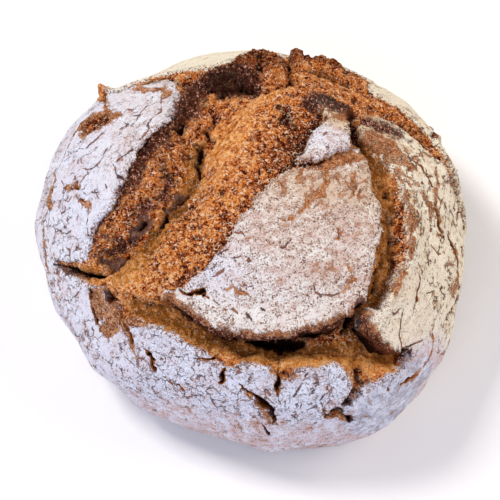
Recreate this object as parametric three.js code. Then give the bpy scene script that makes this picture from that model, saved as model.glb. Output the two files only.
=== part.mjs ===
// A round rye loaf, baked free on the oven floor and torn open over its top.
// Millimetres, +Z up. The origin is the middle of the flat base.
//
// Places on the crust are written on a map of it, laid flat: u runs right and v
// runs back, in millimetres along the crust from the top of the dome.
import * as THREE from "three";

// Driving dimensions
const loafWidth = 220; // across the widest line, before the outline's lobes
const loafHeight = 95; // from the base to the top of the dome
const widestHeight = 33; // height of the widest line
const baseShare = 0.8; // radius of the flat base, as a share of the widest
const crustRun = 137; // along the crust, from the top to the widest line
const shoulder = 0.94; // under 1 the dome's shoulder is fuller than an ellipse
const flankRound = 0.9; // the same for the flank under the widest line
const flankDrop = 0.85; // how soon the flank turns down to the base

// Each lobe pushes the round outline out and in: lobes around, share, degrees
const outlineLobes = [
  [2, 0.029, -90],
  [3, 0.028, 141],
  [4, 0.011, 138],
  [5, 0.01, 74],
];

// Soft unevenness of the crust: wavelength, height, direction in degrees
const swells = [
  [74, 0.9, 20],
  [51, 0.7, 95],
  [38, 0.5, 150],
];

// Cracks: along each one, [u, v, half width, depth]. The floor is the share of
// the width that lies flat at the bottom. Where cracks meet, the deeper one counts.
const cracks = {
  leftValley: {
    floor: 0.1,
    path: [
      [-13, 36, 14, 8],
      [-20, 14, 16, 9],
      [-32, -8, 17, 9],
      [-48, -25, 16, 9],
      [-66, -38, 10, 6],
    ],
  },
  leftFissure: {
    floor: 0.3,
    path: [
      [-15, 20, 6, 12],
      [-19, 4, 6, 13],
      [-35, -17, 6, 14],
      [-62, -36, 6, 12],
      [-73, -40, 4, 9],
      [-88, -36, 3, 7],
      [-106, -29, 2, 3],
    ],
  },
  burntHollow: {
    floor: 0.2,
    path: [
      [-2, 38, 8, 9],
      [-14, 42, 13, 14],
      [-26, 51, 9, 9],
      [-38, 60, 5, 6],
      [-64, 62, 4, 5],
    ],
  },
  backNotch: {
    floor: 0.3,
    path: [
      [4, 40, 6, 7],
      [15, 50, 5, 7],
      [15, 66, 4, 8],
      [15, 92, 5, 9],
    ],
  },
  backShelf: {
    floor: 0.2,
    path: [
      [16, 54, 4, 5],
      [30, 64, 5, 5],
      [46, 66, 5, 4],
    ],
  },
  rightTrench: {
    floor: 0.5,
    path: [
      [37, 25, 5, 7],
      [45, 9, 6, 6],
      [54, -4, 8, 9],
      [56, -20, 9, 10],
      [52, -36, 9, 10],
      [44, -50, 7, 9],
      [37, -60, 6, 10],
    ],
  },
  frontTrench: {
    floor: 0.5,
    path: [
      [-52, -57, 6, 3],
      [-38, -60, 8, 6],
      [-24, -68, 8, 8],
      [-8, -75, 8, 10],
      [8, -73, 9, 12],
      [24, -68, 9, 11],
      [38, -69, 10, 10],
      [52, -75, 8, 9],
      [66, -77, 6, 6],
      [80, -78, 3, 3],
    ],
  },
  frontGully: {
    floor: 0.3,
    path: [
      [41, -76, 7, 7],
      [43, -87, 7, 6],
      [39, -98, 5, 6],
      [46, -114, 3, 4],
    ],
  },
  frontSplit: {
    floor: 0.2,
    path: [
      [-5, -94, 2, 2],
      [3, -102, 4, 5],
      [9, -116, 4, 5],
      [6, -124, 3, 3],
      [9, -134, 3, 4],
    ],
  },
  frontLeftSplit: {
    floor: 0.2,
    path: [
      [-51, -78, 3, 3],
      [-49, -93, 4, 4],
      [-38, -99, 4, 4],
      [-38, -111, 3, 3],
    ],
  },
  bareStep: {
    floor: 0.6,
    path: [
      [-68, -48, 9, 4],
      [-70, -60, 10, 4],
      [-72, -74, 8, 3],
    ],
  },
  leftPit: {
    floor: 0.3,
    path: [
      [-72, -5, 3, 2],
      [-75, 3, 4, 4],
      [-88, 10, 3, 3],
    ],
  },
  leftBackSplit: {
    floor: 0.2,
    path: [
      [-62, 43, 3, 2],
      [-66, 54, 4, 4],
      [-74, 70, 4, 5],
    ],
  },
  upperRightTear: {
    floor: 0.4,
    path: [
      [44, 44, 7, 3],
      [62, 39, 7, 5],
      [78, 31, 6, 5],
      [94, 24, 6, 5],
      [114, 13, 5, 4],
    ],
  },
  rightSplit: {
    floor: 0.2,
    path: [
      [81, -4, 4, 3],
      [87, -15, 4, 4],
      [101, -21, 4, 4],
      [110, -32, 4, 4],
      [112, -46, 3, 3],
    ],
  },
};

// Crust that rose or sank as the loaf opened: [u, v, reach along u, reach along v, height]
const lumps = {
  tornRidge: [20, 40, 34, 15, 4],
  ridgeFlank: [-6, -6, 14, 26, 2],
  backLeftChunk: [3, 64, 10, 15, 6],
  backRightChunk: [25, 75, 9, 9, 7],
  backRightSlope: [58, 68, 24, 16, -4],
  middlePlate: [16, -30, 34, 36, 3],
  middlePlateFoot: [2, -62, 30, 6, 2],
  leafFlap: [27, 20, 7, 14, 3],
  leftPlateEdge: [-42, 12, 12, 22, 2],
  rightPlateEdge: [66, -16, 7, 34, 2],
};

// Mesh density
const domeRings = 33; // rings from the top to the widest line, 6 more points in each
const flankRings = 6; // rings from the widest line to the base
const calmHeight = 14; // the crust's relief dies away below this height

const quarter = Math.PI / 2;

const smooth = (t) => {
  const s = THREE.MathUtils.clamp(t, 0, 1);
  return s * s * (3 - 2 * s);
};

function outlineShare(angle) {
  return outlineLobes.reduce(
    (share, [count, size, turn]) =>
      share + size * Math.cos(count * angle - THREE.MathUtils.degToRad(turn)),
    1,
  );
}

// The smooth body, before it tore: polar is 0 at the top, a quarter turn at the
// widest line and a half turn at the edge of the base.
function bodyPoint(angle, polar) {
  const sine = Math.abs(Math.sin(polar));
  const cosine = Math.cos(polar);
  const above = polar <= quarter;
  const share = above
    ? Math.pow(sine, shoulder)
    : baseShare + (1 - baseShare) * Math.pow(sine, flankRound);
  const height = above
    ? widestHeight + (loafHeight - widestHeight) * cosine
    : widestHeight * (1 - Math.pow(Math.abs(cosine), flankDrop));
  const radius = (loafWidth / 2) * share * outlineShare(angle);
  return new THREE.Vector3(radius * Math.cos(angle), radius * Math.sin(angle), height);
}

function pointOnMap(u, v) {
  return bodyPoint(Math.atan2(v, u), (Math.hypot(u, v) / crustRun) * quarter);
}

function outwardOnMap(u, v) {
  const step = 0.5;
  const alongU = pointOnMap(u + step, v).sub(pointOnMap(u - step, v));
  const alongV = pointOnMap(u, v + step).sub(pointOnMap(u, v - step));
  return alongU.cross(alongV).normalize();
}

// Depth of one crack at a place: its nearest stretch sets the width and depth.
function crackDepth({ floor, path }, u, v) {
  let deepest = 0;
  for (let i = 0; i + 1 < path.length; i += 1) {
    const [u0, v0, width0, depth0] = path[i];
    const [u1, v1, width1, depth1] = path[i + 1];
    const run = (u1 - u0) ** 2 + (v1 - v0) ** 2;
    const along = ((u - u0) * (u1 - u0) + (v - v0) * (v1 - v0)) / run;
    const t = THREE.MathUtils.clamp(along, 0, 1);
    const away = Math.hypot(u - u0 - t * (u1 - u0), v - v0 - t * (v1 - v0));
    const width = THREE.MathUtils.lerp(width0, width1, t);
    const depth = THREE.MathUtils.lerp(depth0, depth1, t);
    const wall = (away / width - floor) / (1 - floor);
    deepest = Math.max(deepest, depth * (1 - smooth(wall)));
  }
  return deepest;
}

function relief(u, v) {
  let height = 0;
  for (const [wavelength, size, degrees] of swells) {
    const turn = THREE.MathUtils.degToRad(degrees);
    const along = u * Math.cos(turn) + v * Math.sin(turn);
    height += size * Math.sin((2 * Math.PI * along) / wavelength);
  }
  for (const [u0, v0, reachU, reachV, size] of Object.values(lumps)) {
    height += size * Math.exp(-(((u - u0) / reachU) ** 2) - ((v - v0) / reachV) ** 2);
  }
  const depths = Object.values(cracks).map((crack) => crackDepth(crack, u, v));
  return height - Math.max(...depths);
}

function crustPoint(angle, polar) {
  const run = (polar / quarter) * crustRun;
  const u = run * Math.cos(angle);
  const v = run * Math.sin(angle);
  const point = bodyPoint(angle, polar);
  const rise = relief(u, v) * smooth(point.z / calmHeight);
  return point.addScaledVector(outwardOnMap(u, v), rise);
}

// The dome is a disc of rings with 6, 12, 18 ... points, so its triangles stay
// even in size. The flank keeps the last ring's count, and a fan closes the base.
function loafGeometry() {
  const points = [crustPoint(0, 0)];
  const ringStarts = [0];
  const rim = 6 * domeRings;
  for (let ring = 1; ring <= domeRings + flankRings; ring += 1) {
    ringStarts.push(points.length);
    const onDome = ring <= domeRings;
    const count = onDome ? 6 * ring : rim;
    const polar = onDome
      ? (quarter * ring) / domeRings
      : quarter + (quarter * (ring - domeRings)) / flankRings;
    for (let i = 0; i < count; i += 1) {
      const point = crustPoint((2 * Math.PI * i) / count, polar);
      if (ring === domeRings + flankRings) point.z = 0;
      points.push(point);
    }
  }
  const baseMiddle = points.length;
  points.push(new THREE.Vector3(0, 0, 0));

  const faces = [];
  for (let ring = 0; ring < domeRings; ring += 1) {
    const inner = (i) => ringStarts[ring] + (ring === 0 ? 0 : i % (6 * ring));
    const outer = (i) => ringStarts[ring + 1] + (i % (6 * ring + 6));
    for (let sixth = 0; sixth < 6; sixth += 1) {
      for (let i = 0; i <= ring; i += 1) {
        const a = sixth * ring + i;
        const b = sixth * (ring + 1) + i;
        faces.push(inner(a), outer(b), outer(b + 1));
        if (i < ring) faces.push(inner(a), outer(b + 1), inner(a + 1));
      }
    }
  }
  for (let ring = domeRings; ring < domeRings + flankRings; ring += 1) {
    for (let i = 0; i < rim; i += 1) {
      const next = (i + 1) % rim;
      const upper = ringStarts[ring];
      const lower = ringStarts[ring + 1];
      faces.push(upper + i, lower + i, lower + next);
      faces.push(upper + i, lower + next, upper + next);
    }
  }
  const baseRing = ringStarts[domeRings + flankRings];
  for (let i = 0; i < rim; i += 1) {
    faces.push(baseRing + ((i + 1) % rim), baseRing + i, baseMiddle);
  }

  const geometry = new THREE.BufferGeometry().setFromPoints(points);
  geometry.setIndex(faces);
  geometry.computeBoundingBox();
  const middle = geometry.boundingBox.getCenter(new THREE.Vector3());
  geometry.translate(-middle.x, -middle.y, 0);
  geometry.computeVertexNormals();
  return geometry;
}

const flouredCrust = new THREE.MeshStandardMaterial({
  color: 0xb89c86,
  roughness: 0.85,
  metalness: 0,
});

const loaf = new THREE.Mesh(loafGeometry(), flouredCrust);
loaf.name = "loaf";

const bread = new THREE.Group();
bread.add(loaf);

export default bread;
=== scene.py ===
import itertools
import math

import bpy
import numpy as np
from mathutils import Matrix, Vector


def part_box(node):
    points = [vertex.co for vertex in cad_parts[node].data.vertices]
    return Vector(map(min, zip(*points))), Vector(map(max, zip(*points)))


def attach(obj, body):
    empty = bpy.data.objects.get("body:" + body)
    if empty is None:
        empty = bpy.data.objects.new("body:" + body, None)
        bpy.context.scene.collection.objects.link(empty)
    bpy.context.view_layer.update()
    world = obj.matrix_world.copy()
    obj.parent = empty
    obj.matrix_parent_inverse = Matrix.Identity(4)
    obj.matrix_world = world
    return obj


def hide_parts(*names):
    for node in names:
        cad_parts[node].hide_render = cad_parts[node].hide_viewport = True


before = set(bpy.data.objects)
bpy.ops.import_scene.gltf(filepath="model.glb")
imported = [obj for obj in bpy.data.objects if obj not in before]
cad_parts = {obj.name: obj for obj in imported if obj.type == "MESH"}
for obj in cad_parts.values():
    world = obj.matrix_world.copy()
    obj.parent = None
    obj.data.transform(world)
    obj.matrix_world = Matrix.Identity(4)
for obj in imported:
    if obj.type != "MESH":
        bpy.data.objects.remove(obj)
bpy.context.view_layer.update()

cadLow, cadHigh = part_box("loaf")
mm = 0.001
print("frame loaded, loaf box in mm:", [round(s / mm) for s in cadHigh - cadLow])


cameraSet = {
    "elevation": 60,        # degrees above the horizon, looking along +Y
    "distance": 800,        # mm from the aim
    "aim": (-0.2, -7.1, 35),
    "lens": 114,            # mm, as the sensor is
    "sensor": 36,
    "clipStart": 50,        # mm
}


def addCamera(s):
    lift = math.radians(s["elevation"])
    back = Vector((0, -math.cos(lift), math.sin(lift)))
    bpy.ops.object.camera_add(location=(Vector(s["aim"]) + back * s["distance"]) * mm)
    camera = bpy.context.object
    camera.name = "camera"
    camera.rotation_euler = (-back).to_track_quat("-Z", "Y").to_euler()
    camera.data.lens = s["lens"]
    camera.data.sensor_width = s["sensor"]
    camera.data.clip_start = s["clipStart"] * mm
    bpy.context.scene.camera = camera


addCamera(cameraSet)


# The loaf's form, in mm.
# Places on the crust are (u, v) on a map of it laid flat: u to the right and v to
# the back, measured along the crust from the top of the dome.
loafForm = {
    "width": 220,           # across the widest line, before the lobes
    "dome": 95,             # base to the top
    "widestHeight": 33,
    "baseShare": 0.8,       # base radius over widest radius
    "crustRun": 137,        # along the crust from the top to the widest line
    "flankRun": 45,         # and from there to the base
    "shoulder": 0.94,       # powers that round the dome and the flank, 1 for an ellipse
    "flankRound": 0.9,
    "flankDrop": 0.85,
    "lobes": [(2, 0.029, -90), (3, 0.028, 141), (4, 0.011, 138), (5, 0.01, 74)],    # count, size, turn
    "swells": [(74, 0.9, 20), (51, 0.7, 95), (38, 0.5, 150)],       # wavelength, height, direction
    "ragged": [(1.2, 9), (0.9, 3.2), (0.7, 1.4)],       # how far outlines stray, and over what length
    "uneven": (0.9, 4),     # how much a split's width varies, and over what length
    "calmHeight": 14,       # relief dies away below this height
    "crustStep": 1.6,       # how far torn crumb lies under the crust plates
    "lip": 1.0,             # plates curl up this much along their edges
    "lipBack": 2,           # and this far in from the edge
    "lipReach": 2.5,
    "plateEdge": 1.6,       # a plate comes up over this width, and a torn slab over the next
    "slabEdge": 3,
    "flakeSlant": (0.6, 0.8),       # cosine and sine of the flakes' slant on the middle plate
    "flakeRound": 90,       # radius at which flakes round the loaf have their true length
    "sideCuts": 256,        # mesh steps along each side of the starting cube
    "fineMargin": 3.5,      # the mesh is finer up to this far from what is drawn
    "triangles": 196000,
    "room": 0.2,            # left free inside the CAD box on each side
}

# Cracks: the flat share of the floor, how much of it cuts into standing crust, and
# (u, v, half width, depth) along it. Where cracks meet, the deeper one counts.
cracks = {
    "leftValley": (0.05, 0.35, [(-15, 36, 15, 8), (-21, 14, 16, 9), (-32, -8, 17, 9), (-48, -25, 16, 9),
        (-66, -38, 10, 6)]),
    "leftFissure": (0.2, 0.4, [(-17, 34, 5, 10), (-18, 20, 5, 11), (-21, 4, 5, 11), (-30, -9, 5, 11),
        (-38, -17, 6, 11), (-48, -26, 7, 10), (-62, -36, 6, 10), (-73, -40, 4, 8), (-88, -36, 2.5, 6),
        (-106, -29, 1.5, 3)]),
    "burntShadedHollow": (0.2, 0.4, [(-1, 42, 7, 6), (-14, 48, 9, 8), (-26, 55, 8, 6), (-38, 61, 5, 4),
        (-64, 62, 3, 3)]),
    "backNotch": (0.3, 0.5, [(6, 42, 5, 6), (15, 50, 4, 7), (14, 66, 4, 9), (13.5, 92, 4.5, 12)]),
    "backShelf": (0.2, 0.5, [(14, 60, 2.5, 4), (30, 62, 3, 4), (50, 59, 2.5, 3)]),
    "rightTrench": (0.45, 0.25, [(38, 25, 4, 6), (42, 14, 4, 5), (50, 6, 7, 5), (54, -4, 9, 6.5),
        (56, -20, 9, 7), (53, -36, 9, 7.5), (44, -50, 7, 9), (37, -60, 6, 10)]),
    "frontTrench": (0.5, 0.2, [(-52, -57, 6, 3), (-38, -60, 8, 6), (-24, -68, 8, 8), (-8, -75, 8, 10),
        (8, -73, 9, 11), (24, -68, 9, 10), (38, -69, 10, 9), (52, -75, 8, 8), (66, -77, 6, 6),
        (80, -78, 3, 3)]),
    "frontGully": (0.3, 0.5, [(41, -76, 7, 7), (45, -87, 6, 6), (41, -98, 3, 4), (42, -104, 1.5, 1.5)]),
    "bareStep": (0.7, 0.8, [(-70, -48, 8, 4), (-71, -58, 9, 4), (-72, -68, 8, 3)]),
    "upperRightTear": (0.4, 0.4, [(44, 44, 7, 3), (62, 39, 7, 5), (78, 31, 6, 5), (94, 22, 6, 5),
        (114, 10, 5, 4)]),
}

# Gaps under crust edges and deep slits: (u, v, half width, depth) along each one.
# the crust material paints each gap near black inside, with a dark halo round it: painted shade
gaps = {
    "underMiddle": [(-6, -73.5, 1, 4), (-1, -74, 2.8, 8), (3, -73.6, 3.7, 10), (9, -73, 4, 10),
        (14, -71.8, 3.6, 9), (18, -69.7, 1.8, 4)],
    "underMiddleLeft": [(-36, -57, 0.8, 2), (-29, -63, 1.2, 4), (-22, -68, 2, 7), (-14, -73, 2, 7),
        (-11, -73, 1, 4)],
    "underMiddleRight": [(18, -66, 0.6, 3), (23, -64.3, 1.3, 5), (28, -62, 1.3, 5), (32, -59, 0.5, 2)],
    "upright": [(35.5, -50, 1.6, 6), (36, -57, 2.2, 8), (35, -62, 1.4, 6)],
    "underRight": [(40, -62, 1.4, 6), (47, -67, 1.9, 8), (54, -70.5, 1.7, 7), (60, -71, 0.9, 4)],
    "underRightFoot": [(61, -70, 0.8, 3), (66, -70.5, 0.7, 3)],
    "underRightEnd": [(68.5, -73, 1.2, 4), (69.5, -75, 1, 3)],
    "slit": [(-71, -39, 1.7, 6), (-79, -40, 1.6, 7), (-87, -37.5, 1, 5), (-97, -34, 0.6, 3),
        (-106, -29, 0.3, 2)],
    "fissureTop": [(-28.5, 27.5, 1.2, 5), (-29, 22, 1.4, 6)],
    "fissureTopRight": [(-19, 27, 1.1, 5), (-18, 22.5, 1.6, 6)],
    "fissureUpper": [(-21, 16.5, 1.4, 5), (-20, 12, 1.6, 6)],
    "fissureMiddle": [(-21.5, 9, 1, 5), (-21, 4.5, 1.2, 6)],
    "fissureSide": [(-26, 13, 0.5, 3), (-24, 12.5, 0.7, 3)],
    "fissureCross": [(-27, -5, 0.6, 3), (-30, -6.5, 0.9, 4), (-35, -8.5, 1, 4)],
    "fissureLower": [(-38, -13, 1.5, 6), (-39.5, -17, 1.6, 6)],
    "valleyDark": [(-47.5, -15.5, 1.1, 4), (-50, -19, 1, 3)],
    "valleyFootDark": [(-65, -29, 1.2, 4), (-64, -30.5, 0.8, 3)],
    "valleyFootPit": [(-70.5, -33, 1.3, 4), (-67, -34.5, 0.7, 3)],
    "trenchTop": [(51.5, 3, 1.2, 4), (54.5, -0.5, 2.2, 8), (57, -3, 1.5, 5)],
    "trenchLong": [(57, -15, 0.9, 5), (58, -22, 1.8, 7), (56.5, -29, 1.4, 6)],
    "trenchLow": [(53, -31, 0.9, 4), (51.5, -35, 1.3, 5)],
    "trenchSide": [(48.5, -36, 0.8, 3), (48, -41, 1.1, 4), (47, -46, 0.8, 3)],
    "leafGap": [(36, 30, 1.2, 5), (35, 25.5, 1.4, 5), (34.5, 22, 0.7, 4)],
    "leafHole": [(36.5, 17.5, 1.2, 5), (39.5, 17.5, 1.6, 6), (40, 15, 0.8, 3)],
    "leafCrack": [(37, 13.5, 0.7, 3), (42, 11, 0.6, 3), (46, 9.3, 0.3, 2)],
    "barePit": [(-70.5, -48, 1.1, 4), (-69, -53, 1.5, 5)],
    "gullyTop": [(40.5, -96.5, 1.6, 6), (41, -99.5, 2.1, 7)],
    "gullyLow": [(36.8, -104.3, 1.5, 5), (38.6, -105, 1.7, 6)],
    "gullyLast": [(43.6, -109.5, 1.3, 5), (44.5, -111.8, 1.5, 5)],
    "gullyDark": [(40.5, -82, 0.7, 3), (42, -86, 0.9, 3)],
    "frontSplit": [(0, -101, 0.6, 4), (3.5, -104.5, 1.4, 6), (7, -109, 1.1, 6), (9, -115, 0.8, 4)],
    "frontFoot": [(4, -124.5, 0.8, 4), (7, -129, 0.8, 3)],
    "hollow": [(-20, 52, 0.7, 2), (-13, 50, 1.5, 4), (-6, 47, 2, 5), (-1, 43.5, 0.9, 3)],
    "backLeft": [(-60, 59, 0.8, 2), (-52, 63, 1.2, 3), (-44, 66.5, 0.8, 2)],
    "backNotch": [(14, 58, 0.8, 4), (15, 51, 0.8, 4)],
    "backShelf": [(17, 62, 0.7, 2), (30, 63.5, 0.9, 3), (44, 62, 0.5, 2)],
    "ridgeDots": [(-12, -8, 0.5, 2), (-12.3, -9.5, 0.3, 1)],
    "ridgeStar": [(8.5, 31, 0.6, 2), (9, 28.5, 0.3, 1)],
    "ridgeStarLow": [(13, 22, 0.3, 1), (12, 20, 0.5, 2)],
}

# Splits through the floured crust: (u, v, half width, depth) along each one.
splits = {
    "front": [(-7, -93.3, 0.1, 1), (-4.5, -97, 0.4, 2.5), (-1.3, -99.2, 0.5, 3), (1, -101.5, 1.3, 5),
        (4, -105, 1.6, 6), (7.5, -109, 1.1, 5), (8.8, -112, 1, 5), (9.3, -116, 1.1, 4),
        (8.5, -119.5, 0.3, 2)],
    "frontFoot": [(3, -122.5, 0.5, 2), (5, -126, 1.1, 4), (8, -130, 0.5, 2)],
    "frontLeft": [(-54, -78.5, 0.4, 1.5), (-51.5, -80.5, 0.6, 2), (-51, -85, 0.9, 3), (-51, -89, 0.9, 3),
        (-50.5, -92.5, 0.6, 2)],
    "frontLeftLow": [(-47, -96.5, 0.2, 1.5), (-43.5, -98.5, 0.5, 2), (-40.5, -98.5, 0.9, 3),
        (-38, -101, 0.9, 3), (-37.8, -105, 0.7, 3), (-38.5, -109.5, 0.2, 1.5)],
    "frontMiddle": [(-13.5, -86, 0.4, 1.5), (-15, -89, 0.8, 3), (-14.5, -92, 0.8, 3), (-16, -94, 0.3, 1.5)],
    "frontShort": [(9, -83, 0.5, 2), (9.8, -86, 0.4, 2), (9.2, -92, 0.5, 2.5), (9, -98, 0.1, 1)],
    "frontNotch": [(11, -84.5, 0.5, 2), (14, -84, 0.3, 1.5)],
    "frontAcross": [(-27, -81, 0.2, 1), (-22, -80.7, 0.4, 2), (-19, -81.2, 0.5, 2), (-14.5, -79, 0.2, 1)],
    "leftPitTop": [(-80, 4.5, 0.3, 1.5), (-76.5, 3.5, 0.7, 2.5)],
    "leftPitLow": [(-76.5, -1, 0.6, 2.5), (-74.5, -3.5, 0.4, 2)],
    "rightTop": [(66, 17.5, 0.2, 1.5), (70, 15.5, 0.5, 2.5), (73.5, 13, 0.4, 2), (77, 9.5, 0.2, 1.5),
        (80, 7, 0.3, 1.5)],
    "rightDown": [(84, -4, 0.2, 1.5), (85.5, -9, 0.6, 2.5), (87, -14, 0.8, 3), (90, -18, 0.2, 2)],
    "rightRim": [(95, -16, 0.3, 2), (99, -21, 0.9, 3), (102, -26, 0.8, 3), (104.5, -33, 0.2, 1)],
    "rightFoot": [(70, -37.5, 0.2, 1), (71.3, -41, 0.3, 2), (71, -47, 0.3, 2), (69.8, -51, 0.8, 3),
        (68.5, -54, 0.1, 1)],
    "rightLow": [(60.5, -85.5, 0.3, 1.5), (60.2, -91.5, 0.6, 2.5)],
    "rightLowAcross": [(66.5, -90.5, 0.2, 1.5), (70, -89, 0.7, 2.5), (74, -88, 0.5, 2), (80, -88, 0.1, 1)],
    "barePatch": [(-78, -47, 0.5, 2), (-81, -56, 0.8, 3), (-82.3, -63, 0.9, 3), (-82, -70, 0.5, 2),
        (-79.5, -74, 0.3, 1.5)],
    "barePatchFoot": [(-61.8, -65, 0.6, 2.5), (-61.3, -70, 0.6, 2.5), (-61.8, -76, 0.3, 2)],
    "middleFront": [(-31, -51.6, 0.1, 1), (-26, -51.4, 0.3, 1.5), (-21.3, -49.6, 0.6, 2),
        (-20, -51.5, 0.1, 1)],
}

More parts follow.
